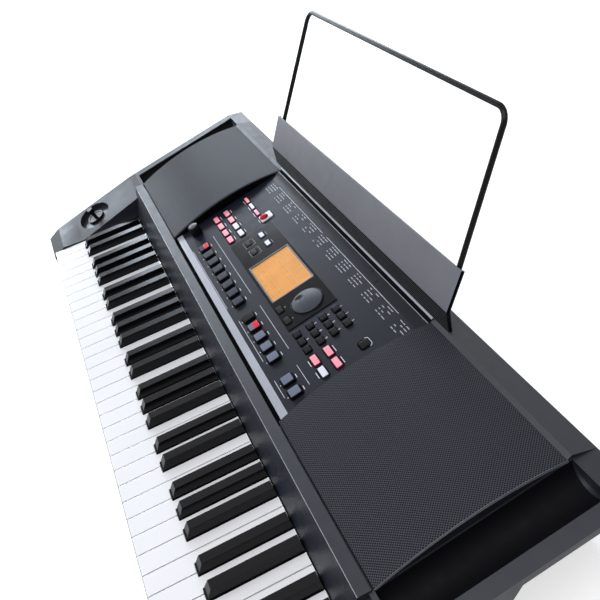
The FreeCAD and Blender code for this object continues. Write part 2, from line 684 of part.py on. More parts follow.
def make_bottom_case():
    """Lower shell: tray with front lip, chassis ribs, screw bosses, board posts and battery opening."""
    half = "case_width/2"
    tray = block(f"-{half}", half, "0", "case_depth", "foot_height", "split_height")
    tray = tray.cut([flank("0"), mirrored(flank("0"))])
    inside = block(f"-{half} + wall", f"{half} - wall", "wall", "case_depth - wall", FLOOR_TOP,
                   "split_height + overrun").cut([flank("wall"), mirrored(flank("wall"))])
    lip = block(f"{KEY_LEFT} - key_gap", f"{KEY_RIGHT} + key_gap", "0", "wall", "foot_height",
                "split_height + lip_height")
    ribs = [block(KEY_LEFT, KEY_RIGHT, y, f"{y} + wall", FLOOR_TOP, f"{FLOOR_TOP} + rest_rib")
            for y in ("2*chassis_front", f"{PIVOT} - 2*wall")]
    bosses = [post(x, y, "foot_height", "split_height", "boss_radius") for x, y in SCREW_PLACES]
    stands = [block(x, f"{x} + post_width", y, f"{y} + post_width", FLOOR_TOP, f"{FLOOR_TOP} + rest_rib")
              for x, y in main_posts()]
    shell = tray.cut(inside).multiFuse([lip] + ribs + bosses + stands)
    battery = block("battery_x", "battery_x + battery_width", "battery_front",
                    "battery_front + battery_depth", "0", FLOOR_TOP)
    head_top = "foot_height + head_height + fit_gap"
    heads = [post(x, y, "foot_height - overrun", head_top, "screw_head + fit_gap") for x, y in SCREW_PLACES]
    bores = [post(x, y, "foot_height", "split_height + overrun", "screw_radius + pin_gap")
             for x, y in SCREW_PLACES]
    part("bottom_case", solid("bottom_case", shell.cut([battery] + heads + bores).removeSplitter()))


MAIN_LEFT = "(battery_x - main_width - post_width)"
MAIN_FRONT = "(case_depth - main_rear - main_depth)"


def main_posts():
    return [(x, y) for x in (MAIN_LEFT, f"{MAIN_LEFT} + main_width - post_width")
            for y in (MAIN_FRONT, f"{MAIN_FRONT} + main_depth - post_width")]


def make_case_fittings():
    feet = []
    for side in BOTH_SIDES:
        for name, y, inset in (("front", "foot_inset", "foot_inset"),
                               ("rear", "case_depth - foot_inset", "(foot_inset + foot_tuck)")):
            x = f"{side}*(case_width/2 - {inset})"
            feet.append(rod(f"foot_{name}", x, y, "0", "foot_radius", "foot_height"))
    part("rubber_feet", gather("rubber_feet", feet))
    screws = []
    for x, y in SCREW_PLACES:
        head = rod("screw_head_piece", x, y, "foot_height", "screw_head", "head_height + fit_gap")
        shank = rod("screw_shank", x, y, "foot_height", "screw_radius",
                    "split_height - foot_height + screw_reach")
        screws.append(join("screw", [head, shank]))
    part("case_screws", gather("case_screws", screws))
    cover = box("battery_cover", "battery_x - battery_lap", "battery_front - battery_lap",
                "foot_height - cover_thickness", "battery_width + 2*battery_lap",
                "battery_depth + 2*battery_lap", "cover_thickness")
    part("battery_cover", cover)
    board = box("main_board", MAIN_LEFT, MAIN_FRONT, f"{FLOOR_TOP} + rest_rib", "main_width", "main_depth",
                "board_thickness")
    part("main_board", board)


def make_rear_sockets():
    """Jack bushings through the rear wall, their bodies on the inside, and the power inlet."""
    rearward = Vector(0, 1, 0)
    jacks = []
    for place in range(JACKS):
        x = f"jack_first + {place}*jack_pitch"
        body = box("jack_body_piece", f"{x} - jack_body/2", "case_depth - wall - jack_depth",
                   "jack_height - jack_body/2", "jack_body", "jack_depth", "jack_body")
        bush = rod("jack_bushing", x, "case_depth - wall - overrun", "jack_height", "jack_radius",
                   "wall + overrun", rearward)
        bore = rod("jack_bore_piece", x, "case_depth - jack_depth", "jack_height", "jack_bore",
                   "jack_depth + overrun", rearward)
        jacks.append(cut("jack", join("jack_solid", [body, bush]), bore))
    part("rear_jacks", gather("rear_jacks", jacks))
    body = box("inlet_body", "inlet_x - jack_body/2", "case_depth - wall - jack_body",
               "jack_height - jack_body/2", "jack_body", "jack_body", "jack_body")
    bush = rod("inlet_bushing", "inlet_x", "case_depth - wall - overrun", "jack_height", "inlet_radius",
               "wall + overrun", rearward)
    bore = rod("inlet_bore_piece", "inlet_x", "case_depth - jack_body", "jack_height", "inlet_bore",
               "jack_body + overrun", rearward)
    pin = rod("inlet_pin_piece", "inlet_x", "case_depth - jack_body - wall", "jack_height", "inlet_pin",
              "jack_body", rearward)
    part("dc_inlet", join("dc_inlet", [cut("inlet_shell", join("inlet_solid", [body, bush]), bore), pin]))


# Keys. Tails and black keys share the octave out as on a piano: low group c to e, high group f to b.

LOW_TAIL = f"(({LOW_GROUP}*{WHITE_PITCH} - {LOW_GROUP - 1}*slot_width)/{LOW_GROUP})"
HIGH_TAIL = f"(({HIGH_GROUP}*{WHITE_PITCH} - {HIGH_GROUP - 1}*slot_width)/{HIGH_GROUP})"
HIGH_START = f"({LOW_GROUP}*{WHITE_PITCH})"
WHITE_NOTES = ["c", "d", "e", "f", "g", "a", "b"]
BLACK_NOTES = {"c_sharp": f"({LOW_TAIL})", "d_sharp": f"(2*{LOW_TAIL} + slot_width)",
               "f_sharp": f"({HIGH_START} + {HIGH_TAIL})",
               "g_sharp": f"({HIGH_START} + 2*{HIGH_TAIL} + slot_width)",
               "a_sharp": f"({HIGH_START} + 3*{HIGH_TAIL} + 2*slot_width)"}


def tail_span(note):
    """Left and right edges of a white key's tail within its octave."""
    place = WHITE_NOTES.index(note)
    if place < LOW_GROUP:
        left = f"({place}*({LOW_TAIL} + slot_width))"
        return left, f"({left} + {LOW_TAIL})"
    left = f"({HIGH_START} + {place - LOW_GROUP}*({HIGH_TAIL} + slot_width))"
    return left, f"({left} + {HIGH_TAIL})"


KEY_END = f"({PIVOT} + key_tail)"


def key_hollows(left, right, front, top):
    """Room inside a key on both sides of its actuator web, and the notch for the pivot rib."""
    inner_left = f"{left} + key_skin"
    inner_right = f"{right} - key_skin"
    under = f"{KEY_UNDER} - overrun"
    before = block(inner_left, inner_right, f"{front} + key_skin", "web_front", under, f"{top} - key_skin")
    behind = block(inner_left, inner_right, "web_front + web_length", f"{PIVOT} - pivot_rib - 2*key_skin",
                   under, "key_top - 2*key_skin")
    notch = block(f"{left} - overrun", f"{right} + overrun", f"{PIVOT} - pivot_rib/2 - pivot_gap",
                  f"{PIVOT} + pivot_rib/2 + pivot_gap", under, f"{KEY_UNDER} + pivot_depth + fit_gap")
    return [before, behind, notch]


def white_key(note, full_tail):
    """A white key of the lowest octave; the highest key has a tail of full width."""
    place = WHITE_NOTES.index(note)
    left = f"({KEY_LEFT} + {place}*{WHITE_PITCH} + key_gap)"
    right = f"({KEY_LEFT} + {place + 1}*{WHITE_PITCH} - key_gap)"
    tail_left, tail_right = tail_span(note)
    tail_left = f"({KEY_LEFT} + {tail_left} + key_gap)"
    tail_right = right if full_tail else f"({KEY_LEFT} + {tail_right} - key_gap)"
    head = block(left, right, "key_front", f"{BLACK_FRONT} - key_gap", KEY_UNDER, "key_top")
    tail = block(tail_left, tail_right, "key_front", KEY_END, KEY_UNDER, "key_top")
    room = block(f"{left} + key_skin", f"{right} - key_skin", "key_front + key_skin",
                 f"{BLACK_FRONT} - key_gap - key_skin", f"{KEY_UNDER} - overrun", "key_top - key_skin")
    hollows = [room] + key_hollows(tail_left, tail_right, "key_front", "key_top")
    return head.fuse(tail).cut(hollows).removeSplitter()


def black_key(note):
    """A black key of the lowest octave: lip, sloping front, narrowing sides, level top."""
    middle = f"({KEY_LEFT} + {BLACK_NOTES[note]} + slot_width/2)"
    left = f"({middle} - black_width/2)"
    right = f"({middle} + black_width/2)"
    rear = f"({BLACK_FRONT} + black_length)"
    body = block(left, right, BLACK_FRONT, KEY_END, KEY_UNDER, "key_top - rail_clear/2")
    lip = block(left, right, BLACK_FRONT, rear, "key_top - rail_clear", "key_top + black_lip")
    low = [(f"{left}", f"{BLACK_FRONT} + black_lip/2"), (f"{right}", f"{BLACK_FRONT} + black_lip/2"),
           (f"{right}", rear), (f"{left}", rear)]
    inset = "(black_width - black_top_width)/2"
    high = [(f"{left} + {inset}", f"{BLACK_FRONT} + black_slope"),
            (f"{right} - {inset}", f"{BLACK_FRONT} + black_slope"),
            (f"{right} - {inset}", rear), (f"{left} + {inset}", rear)]
    wires = []
    for corners, z in ((low, "key_top + black_lip"), (high, "key_top + black_rise")):
        points = [Vector(num(x), num(y), num(z)) for x, y in corners]
        wires.append(Part.makePolygon(points + points[:1]))
    cap = Part.makeLoft(wires, True, True)
    hollows = key_hollows(left, right, BLACK_FRONT, "key_top")
    return body.multiFuse([lip, cap]).cut(hollows).removeSplitter()


def octave_copies(shape, count):
    step = num(f"{WHITE_PER_OCTAVE}*{WHITE_PITCH}")
    return [shape.translated(Vector(octave * step, 0, 0)) for octave in range(count)]


def make_keys():
    """One node per note name: its keys in all octaves, as separate solids."""
    for note in WHITE_NOTES:
        keys = octave_copies(white_key(note, False), OCTAVES)
        if note == WHITE_NOTES[0]:
            keys.append(octave_copies(white_key(note, True), OCTAVES + 1)[-1])
        part(f"keys_{note}", solid(f"keys_{note}", Part.makeCompound(keys)))
    for note in BLACK_NOTES:
        keys = octave_copies(black_key(note), OCTAVES)
        part(f"keys_{note}", solid(f"keys_{note}", Part.makeCompound(keys)))


STOP_TOP = f"({KEY_UNDER} - key_dip*({PIVOT} - stop_front)/key_reach - fit_gap)"
DOME_TOP = f"({KEY_UNDER} - key_dip*({PIVOT} - web_front)/key_reach - fit_gap)"
CONTACT_Z = f"({DOME_TOP} - dome_height - strip_thickness - board_thickness)"
CONTACT_FRONT = "(web_front + web_length/2 - contact_width/2)"


def make_key_bed():
    """Chassis with pivot rib and stop bar, felt, contact board and rubber strip with its domes."""
    plate_z = f"({FLOOR_TOP} + rest_rib)"
    plate = box("chassis_base", KEY_LEFT, "chassis_front", plate_z, KEY_SPAN,
                f"{PIVOT} + key_tail - chassis_front", "chassis_plate")
    rib = box("chassis_rib", KEY_LEFT, f"{PIVOT} - pivot_rib/2", plate_z, KEY_SPAN, "pivot_rib",
              f"{KEY_UNDER} + pivot_depth - {plate_z}")
    stop = box("chassis_stop", KEY_LEFT, "stop_front", plate_z, KEY_SPAN, "stop_width",
               f"{STOP_TOP} - felt_thickness - {plate_z}")
    posts = [box("chassis_ridge", KEY_LEFT, y, plate_z, KEY_SPAN, "post_width", f"{CONTACT_Z} - {plate_z}")
             for y in (CONTACT_FRONT, f"{CONTACT_FRONT} + contact_width - post_width")]
    part("key_chassis", join("key_chassis", [plate, rib, stop] + posts))
    felt = box("key_felt_strip", KEY_LEFT, "stop_front", f"{STOP_TOP} - felt_thickness", KEY_SPAN,
               "stop_width", "felt_thickness")
    part("key_felt_strip", felt)
    board = box("key_contact_board", KEY_LEFT, CONTACT_FRONT, CONTACT_Z, KEY_SPAN, "contact_width",
                "board_thickness")
    part("key_contact_board", board)
    strip_z = f"({CONTACT_Z} + board_thickness)"
    middle = "(web_front + web_length/2)"
    strip = block(KEY_LEFT, KEY_RIGHT, f"{middle} - strip_width/2", f"{middle} + strip_width/2", strip_z,
                  f"{strip_z} + strip_thickness")
    radius = num("dome_radius")
    top = radius - num("dome_inset")
    base = num(f"{strip_z} + strip_thickness")
    height = num("dome_height")
    domes = [Part.makeCone(radius, top, height, Vector(x, num(middle), base)) for x in key_middles()]
    part("rubber_contact_strip", solid("rubber_contact_strip", strip.multiFuse(domes)))


def key_middles():
    """Middles of all tails and black keys along X."""
    places = []
    octave = num(f"{WHITE_PER_OCTAVE}*{WHITE_PITCH}")
    start = num(KEY_LEFT)
    spans = [tail_span(note) for note in WHITE_NOTES]
    within = [num(f"({left} + {right})/2") for left, right in spans]
    within += [num(f"{left} + slot_width/2") for left in BLACK_NOTES.values()]
    for number in range(OCTAVES):
        places += [start + number * octave + place for place in within]
    places.append(start + num(f"{KEY_SPAN} - {WHITE_PITCH}/2"))
    return places


# Speakers.

POD_TILT = f"atan({POD_SLOPE})"
POD_MIDDLE = "((pod_front + pod_rear)/2)"
POD_SEAT_Z = f"(({CHORD_FRONT} + {CHORD_REAR})/2 - baffle_seat)"
FLANGE_WIDTH = f"({POD_OUTER} - {POD_INNER} - 2*wall - 2*fit_gap)"
FLANGE_LENGTH = f"({POD_LENGTH} - 2*wall - baffle_thickness - 2*fit_gap)/cos({POD_TILT})"


def pipe(radius, bore, low, high):
    """A tube about the local Z axis."""
    height = num(high) - num(low)
    base = Vector(0, 0, num(low))
    return Part.makeCylinder(num(radius), height, base).cut(Part.makeCylinder(num(bore), height, base))


def disc(radius, low, high):
    return Part.makeCylinder(num(radius), num(high) - num(low), Vector(0, 0, num(low)))


def speaker_frame():
    """Flange plate with its opening, basket under it and the magnet at the bottom."""
    plate = block(f"-{FLANGE_WIDTH}/2", f"{FLANGE_WIDTH}/2", f"-{FLANGE_LENGTH}/2", f"{FLANGE_LENGTH}/2",
                  "-baffle_thickness", "0")
    basket = pipe("basket_radius", "basket_radius - basket_wall", "-basket_depth", "-baffle_thickness")
    back = disc("basket_radius", "-basket_depth - basket_wall", "-basket_depth")
    magnet = disc("magnet_radius", "-basket_depth - basket_wall - magnet_depth", "-basket_depth")
    opening = disc("cone_radius", "-basket_depth", "overrun")
    return plate.cut(opening).multiFuse([basket, back, magnet]).removeSplitter()


def speaker_cone():
    """A thin cone from its surround at the flange down to the back of the basket."""
    radius = num("cone_radius - fit_gap")
    small = num("magnet_radius/2")
    depth = num("cone_depth")
    skin = num("cone_skin")
    outside = Part.makeCone(small, radius, depth, Vector(0, 0, -depth - skin))
    inside = Part.makeCone(small, radius, depth, Vector(0, 0, -depth))
    neck = disc("magnet_radius/2", "-basket_depth", "-cone_depth")
    return outside.cut(inside).fuse(neck)


def make_speakers():
    """A grille on each pod, and a speaker on the seat under each grille."""
    skin = grille_skin()
    for name, shape in (("left", mirrored(skin)), ("right", skin)):
        part(f"{name}_speaker_grille", solid(f"{name}_speaker_grille", shape))
    for label, shape in (("speaker_frames", speaker_frame()), ("speaker_cones", speaker_cone())):
        middle = num(f"({POD_INNER} + {POD_OUTER})/2")
        pair = Part.makeCompound([shape.translated(Vector(side * middle, 0, 0)) for side in BOTH_SIDES])
        tilted_part(label, solid(label, pair), "0", POD_MIDDLE, POD_SEAT_Z, POD_TILT)


# The control panel and what sits on it, built flat: X across, Y up the slope, Z out of the panel.

UNDER = "(-panel_thickness)"
BEZEL_LEFT = "(bezel_middle - bezel_width/2)"
BEZEL_MIDDLE = "(bezel_front + bezel_length/2)"
ON_BEZEL = "(bezel_thickness + select_rise)"


def bank_place(column, row):
    return f"({BANK_LAST} - {BANK_COLUMNS - 1 - column}*button_pitch)", f"(second_row + {row}*row_pitch)"


def record_place():
    x, y = bank_place(BANK_COLUMNS - 1, MODE_ROW)
    return x, f"({y} + record_shift)"


def memory_place(column, row):
    return f"(memory_first + {column}*button_pitch)", f"(second_row + {row}*row_pitch)"


def number_place(column, row):
    return f"(number_first + {column}*number_pitch)", f"(second_row + {row}*row_pitch)"


def style_place(column):
    return f"(style_inset - {POD_INNER} + {column}*button_pitch)", "front_row"


def pad_place(column):
    return f"({POD_INNER} - pad_inset - {ROW_SPAN} + {column}*button_pitch)", "front_row"


def select_place(column, row):
    return f"(select_first + {column}*select_pitch)", f"(select_row + {row}*select_step)"


def page_place(column):
    return f"(page_first + {column}*select_pitch)", "second_row"


BANK = (BANK_WIDTH, "bank_length", "bank_rise")
MODE = (BANK_WIDTH, "mode_length", "bank_rise")
RECORD = (BANK_WIDTH, "record_length", "bank_rise")
STYLE = ("style_width", "style_length", "style_rise")
NUMBER = ("number_width", "number_length", "number_rise")
SELECT = ("select_width", "select_length", ON_BEZEL)
POWER = ("power_width", "power_width", "select_rise")
MODE_ROW = 3
PAD_COUNT = 5
TRANSPOSE_COLUMNS = (6, 7)

# Each node: its button's size and rise, and the places of its buttons.
BUTTONS = {
    "bank_buttons_front": (BANK, [bank_place(column, 0) for column in range(BANK_COLUMNS)]),
    "bank_buttons_rear": (BANK, [bank_place(column, 1) for column in range(2)]),
    "bank_buttons_white": (BANK, [bank_place(column, 1) for column in range(2, BANK_COLUMNS)]),
    "mode_buttons_pink": (MODE, [bank_place(column, MODE_ROW) for column in (0, 2)]),
    "mode_button_white": (MODE, [bank_place(1, MODE_ROW)]),
    "record_button": (RECORD, [record_place()]),
    "select_buttons_white": (SELECT, [select_place(column, 1) for column in range(2)]),
    "select_buttons_black": (SELECT, [select_place(column, 0) for column in range(2)]),
    "page_buttons": (SELECT, [page_place(column) for column in range(2)]),
    "start_button": (STYLE, [style_place(0)]),
    "style_buttons": (STYLE, [style_place(column) for column in range(1, BUTTONS_IN_ROW)]),
    "pad_button_black": (STYLE, [pad_place(0)]),
    "pad_button_red": (STYLE, [pad_place(1)]),
    "pad_buttons_grey": (STYLE, [pad_place(column) for column in range(2, PAD_COUNT)]),
    "transpose_buttons": (STYLE, [pad_place(column) for column in TRANSPOSE_COLUMNS]),
    "number_buttons": (NUMBER, [number_place(column, row) for column in range(3) for row in range(4)]),
    "memory_buttons_pink": (BANK, [memory_place(0, 0), memory_place(0, 1), memory_place(1, 1)]),
    "memory_button_white": (BANK, [memory_place(1, 0)]),
    "power_button": (POWER, [(f"({POD_INNER} - power_inset)", f"(second_row + {MODE_ROW}*row_pitch)")]),
}
BEZEL_NODES = ("select_buttons_white", "select_buttons_black", "page_buttons")


def make_buttons():
    """Caps through the panel, each held from below by its flange."""
    foot_z = f"({UNDER} - fit_gap - flange_thickness)"
    for label, ((width, length, rise), places) in BUTTONS.items():
        caps = []
        for x, y in places:
            cap = box(f"{label}_cap", f"{x} - {width}/2", f"{y} - {length}/2", foot_z, width, length,
                      f"{rise} - {foot_z}")
            foot = box(f"{label}_foot", f"{x} - {width}/2 - flange", f"{y} - {length}/2 - flange", foot_z,
                       f"{width} + 2*flange", f"{length} + 2*flange", "flange_thickness")
            caps.append(join(f"{label}_piece", [cap, foot]))
        panel_part(label, gather(label, caps))


def button_holes(labels, low, height):
    """Holes for the caps of some nodes, with running clearance."""
    holes = []
    for label in labels:
        (width, length, rise), places = BUTTONS[label]
        for x, y in places:
            left = f"{x} - {width}/2 - fit_gap"
            front = f"{y} - {length}/2 - fit_gap"
            holes.append(box(f"{label}_hole", left, front, low, f"{width} + 2*fit_gap",
                             f"{length} + 2*fit_gap", height))
    return holes


def make_panel():
    """Plate with bevelled front, button holes, shaft bores, display opening and board posts."""
    side_view = [("0", UNDER), ("0", "-lip_drop"), ("lip_length", "0"), ("panel_length", "0"),
                 ("panel_length", UNDER)]
    plate = solid("panel_plate", prism(side_view, f"panel_side - {POD_INNER}", f"{POD_INNER} - panel_side"))
    posts = []
    for side in BOTH_SIDES:
        for y in ("board_front + post_width", "board_front + board_length - post_width"):
            posts.append(rod("panel_post", f"{side}*({BOARD_WIDTH}/2 - post_width)", y, "-board_drop",
                             "post_width/2", "board_drop - panel_thickness"))
    through = f"({UNDER} - overrun)"
    height = "(panel_thickness + 2*overrun)"
    holes = button_holes(BUTTONS, through, height)
    for x, y in (("wheel_middle", "wheel_row"), (KNOB_X, "knob_row")):
        holes.append(rod("shaft_hole", x, y, through, "shaft_radius + pin_gap", height))
    holes.append(box("module_hole", f"screen_middle - {MODULE_WIDTH}/2 - fit_gap",
                     f"{BEZEL_MIDDLE} - {MODULE_LENGTH}/2 - fit_gap", through, f"{MODULE_WIDTH} + 2*fit_gap",
                     f"{MODULE_LENGTH} + 2*fit_gap", height))
    panel_part("control_panel", cut("control_panel", join("panel_solid", [plate] + posts),
                                    gather("panel_holes", holes)))
    board = box("panel_board_piece", f"-{BOARD_WIDTH}/2", "board_front", "-board_drop - board_thickness",
                BOARD_WIDTH, "board_length", "board_thickness")
    panel_part("panel_board", gather("panel_board", [board]))


MODULE_WIDTH = "(screen_width + 2*module_margin)"
MODULE_LENGTH = "(screen_length + 2*module_margin)"


def make_display():
    """Bezel plate on the panel, clear window in it, display module under both."""
    plate = box("bezel_plate", BEZEL_LEFT, "bezel_front", "0", "bezel_width", "bezel_length",
                "bezel_thickness")
    height = "(bezel_thickness + 2*overrun)"
    holes = button_holes(BEZEL_NODES, "-overrun", height)
    holes.append(rod("wheel_hole", "wheel_middle", "wheel_row", "-overrun", "wheel_radius + 2*fit_gap",
                     height))
    holes.append(box("window_hole", "screen_middle - screen_width/2", f"{BEZEL_MIDDLE} - screen_length/2",
                     "-overrun", "screen_width", "screen_length", height))
    panel_part("display_bezel", cut("display_bezel", plate, gather("bezel_holes", holes)))
    window = box("window_plate", "screen_middle - screen_width/2 + pin_gap",
                 f"{BEZEL_MIDDLE} - screen_length/2 + pin_gap", "0", "screen_width - 2*pin_gap",
                 "screen_length - 2*pin_gap", "bezel_thickness")
    panel_part("display_window", gather("display_window", [window]))
    module = box("module_body", f"screen_middle - {MODULE_WIDTH}/2",
                 f"{BEZEL_MIDDLE} - {MODULE_LENGTH}/2", "-module_depth", MODULE_WIDTH, MODULE_LENGTH,
                 "module_depth")
    panel_part("lcd_module", gather("lcd_module", [module]))


def make_wheel_and_knob():
    """Domed data wheel with its finger dimple, and the volume knob with its pointer groove."""
    radius = num("wheel_radius")
    dome = num("wheel_dome")
    ball = (radius * radius + dome * dome) / (2 * dome)
    edge = num("bezel_thickness + wheel_edge")
    low = num("fit_gap")
    body = Part.makeCylinder(radius, edge + dome - low, Vector(0, 0, low))
    body = body.common(Part.makeSphere(ball, Vector(0, 0, edge + dome - ball)))
    deep = num("dimple_depth")
    wide = num("dimple_radius")
    scoop = (wide * wide + deep * deep) / (2 * deep)
    left = num("dimple_left")
    front = num("dimple_front")
    crown = edge + dome - ball + sqrt(ball * ball - left * left - front * front)
    body = body.cut(Part.makeSphere(scoop, Vector(-left, -front, crown + scoop - deep)))
    shaft = disc("shaft_radius", "shaft_foot - board_drop", "fit_gap")
    wheel = body.fuse(shaft).translated(Vector(num("wheel_middle"), num("wheel_row"), 0))
    panel_part("data_wheel", solid("data_wheel", wheel))
    cap = rod("knob_cap", KNOB_X, "knob_row", "fit_gap", "knob_radius", "knob_rise - fit_gap")
    stem = rod("knob_stem", KNOB_X, "knob_row", "shaft_foot - board_drop", "shaft_radius",
               "board_drop - shaft_foot + fit_gap")
    mark = box("knob_groove", f"{KNOB_X} - knob_mark/2", "knob_row", "knob_rise - knob_mark/2", "knob_mark",
               "knob_radius + overrun", "overrun")
    panel_part("volume_knob", cut("volume_knob", join("knob_solid", [cap, stem]), mark))


# The joystick, built upright on the middle of the dish's floor.

FORK_SIDE = "(gimbal_size/2 + fit_gap)"
FORK_UNDER = "(gimbal_size/2*sqrt(2) + fit_gap - pivot_drop)"


def joystick_part(label, shape):
    tilted_part(label, solid(label, shape), f"-{STICK_X}", "stick_depth", "dish_floor", "stick_tilt")


def cross_pin(length, radius, direction):
    """A pin through the joystick's pivot, along a direction."""
    middle = Vector(0, 0, -num("pivot_drop"))
    return Part.makeCylinder(num(radius), num(length), middle - direction * (num(length) / 2), direction)


def make_joystick():
    """Housing with collar and flange, gimbal with crossed pins, stick with fork and cap."""
    across = Vector(1, 0, 0)
    along = Vector(0, 1, 0)
    tube = pipe("collar_radius", "collar_bore", "-housing_depth", "collar_rise")
    floor = disc("collar_radius", "-housing_depth - wall", "-housing_depth")
    flange = pipe("housing_flange", "collar_bore", "-2*wall", "-wall")
    bores = cross_pin("2*collar_radius + 2*overrun", "gimbal_pin + pin_gap", across)
    joystick_part("joystick_housing", tube.multiFuse([floor, flange]).cut(bores).removeSplitter())
    half = "gimbal_size/2"
    heart = block(f"-{half}", half, f"-{half}", half, f"-pivot_drop - {half}", f"-pivot_drop + {half}")
    axles = [cross_pin("2*collar_radius - 2*fit_gap", "gimbal_pin", across),
             cross_pin(f"2*({FORK_SIDE} + fork_thickness)", "gimbal_pin", along)]
    joystick_part("joystick_gimbal", heart.multiFuse(axles).removeSplitter())
    reach = f"({FORK_SIDE} + fork_thickness)"
    prongs = [block("-fork_width/2", "fork_width/2", y0, y1, "-pivot_drop - fork_width/2", FORK_UNDER)
              for y0, y1 in ((f"-{reach}", f"-{FORK_SIDE}"), (FORK_SIDE, reach))]
    bridge = block("-fork_width/2", "fork_width/2", f"-{reach}", reach, FORK_UNDER,
                   f"{FORK_UNDER} + fork_head")
    lever = disc("stick_radius", f"{FORK_UNDER}", "stick_rise")
    cap = disc("cap_radius", "stick_rise - cap_height", "stick_rise")
    eyes = cross_pin(f"2*({FORK_SIDE} + fork_thickness + overrun)", "gimbal_pin + pin_gap", along)
    stick = bridge.multiFuse(prongs + [lever, cap]).cut(eyes).removeSplitter()
    joystick_part("joystick_stick", stick)


# The music rest: upright base strip, leaning plate with folded ends and two bosses, wire loop.

REST_Z = "(rest_height + plate_thickness*sin(rest_lean))"


def rest_part(label, shape):
    tilted_part(label, solid(label, shape), "0", REST_Y, REST_Z, "(-rest_lean)")


def wire_corner(tip, before, after, radius):
    """Ends and middle of the arc that rounds a corner of the wire."""
    back = (before - tip).normalize()
    forth = (after - tip).normalize()
    half = back.getAngle(forth) / 2
    reach = radius / tan(half)
    bisector = (back + forth).normalize()
    centre = tip + bisector * (radius / sin(half))
    return tip + back * reach, centre - bisector * radius, tip + forth * reach


def wire_path():
    """Centre line of the loop: leg, corner, top, corner, leg."""
    depth = num(WIRE_OFFSET)
    foot_z = num("2*plate_thickness")
    top_z = num("wire_rise")
    foot = num("rest_width/2 - wire_inset")
    top = num("rest_width/2 - wire_inset - wire_taper")
    points = [Vector(-foot, depth, foot_z), Vector(-top, depth, top_z), Vector(top, depth, top_z),
              Vector(foot, depth, foot_z)]
    radius = num("wire_bend")
    left = wire_corner(points[1], points[0], points[2], radius)
    right = wire_corner(points[2], points[1], points[3], radius)
    edges = [Part.makeLine(points[0], left[0]), Part.Arc(*left).toShape(),
             Part.makeLine(left[2], right[0]), Part.Arc(*right).toShape(),
             Part.makeLine(right[2], points[3])]
    return Part.Wire(edges), points


def make_music_rest():
    base = box("rest_base", "-rest_width/2", REST_Y, f"{PANEL_REAR_Z} - rest_plug", "rest_width", "rest_base",
               f"rest_height - {PANEL_REAR_Z} + rest_plug")
    part("rest_base", base)
    path, points = wire_path()
    leg = (points[1] - points[0]).normalize()
    section = Part.Wire(Part.makeCircle(num("wire_radius"), points[0], leg))
    rest_part("rest_wire", path.makePipeShell([section], True, False))
    plate = block("-rest_width/2", "rest_width/2", "0", "plate_thickness", "0", "plate_length")
    boss_back = f"({WIRE_OFFSET} + wire_radius + plate_thickness)"
    boss = block("rest_width/2 - wire_inset - boss_size/2", "rest_width/2", "0", boss_back,
                 "plate_thickness", "plate_thickness + boss_length")
    fold = block("rest_width/2 - plate_thickness", "rest_width/2", "0", boss_back,
                 "plate_thickness", "plate_length")
    bore = Part.makeCylinder(num("wire_radius + pin_gap"), num("2*boss_length"), points[3],
                             (points[2] - points[3]).normalize())
    whole = plate.multiFuse([boss, mirrored(boss), fold, mirrored(fold)])
    rest_part("rest_plate", whole.cut([bore, mirrored(bore)]).removeSplitter())


make_top_case()
make_bottom_case()
make_case_fittings()
make_rear_sockets()
make_keys()
make_key_bed()
make_speakers()
make_panel()
make_display()
make_buttons()
make_wheel_and_knob()
make_joystick()
make_music_rest()
doc.recompute()

for item in doc.Objects:
    if "Invalid" in item.State or "Error" in item.State:
        raise RuntimeError(f"{item.Label} did not build: {item.State}")
for item in PARTS:
    if item.Shape.isNull() or not item.Shape.isValid():
        raise RuntimeError(f"{item.Label} has no valid shape")
os.makedirs("parts", exist_ok=True)
for item in PARTS:
    item.Shape.exportStep(f"parts/{item.Label}.step")
    print(item.Label, len(item.Shape.Solids), round(item.Shape.Volume))
print(len(PARTS), "pieces")
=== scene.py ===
import math

import bmesh
import bpy
from mathutils import Matrix, Vector


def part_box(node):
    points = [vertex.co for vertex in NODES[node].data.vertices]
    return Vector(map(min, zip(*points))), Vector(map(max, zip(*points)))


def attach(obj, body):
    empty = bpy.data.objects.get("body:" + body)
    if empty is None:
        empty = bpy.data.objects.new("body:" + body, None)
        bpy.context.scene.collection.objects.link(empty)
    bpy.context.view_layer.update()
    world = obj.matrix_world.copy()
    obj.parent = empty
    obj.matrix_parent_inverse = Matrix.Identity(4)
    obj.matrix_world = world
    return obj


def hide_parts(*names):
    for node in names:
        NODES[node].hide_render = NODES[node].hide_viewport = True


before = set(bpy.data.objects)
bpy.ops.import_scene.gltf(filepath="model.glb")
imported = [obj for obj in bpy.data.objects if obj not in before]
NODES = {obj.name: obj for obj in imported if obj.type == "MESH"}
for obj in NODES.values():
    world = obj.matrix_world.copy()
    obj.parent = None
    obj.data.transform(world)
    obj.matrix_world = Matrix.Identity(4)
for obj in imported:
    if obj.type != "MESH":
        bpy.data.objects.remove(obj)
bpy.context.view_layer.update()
MM = 0.001

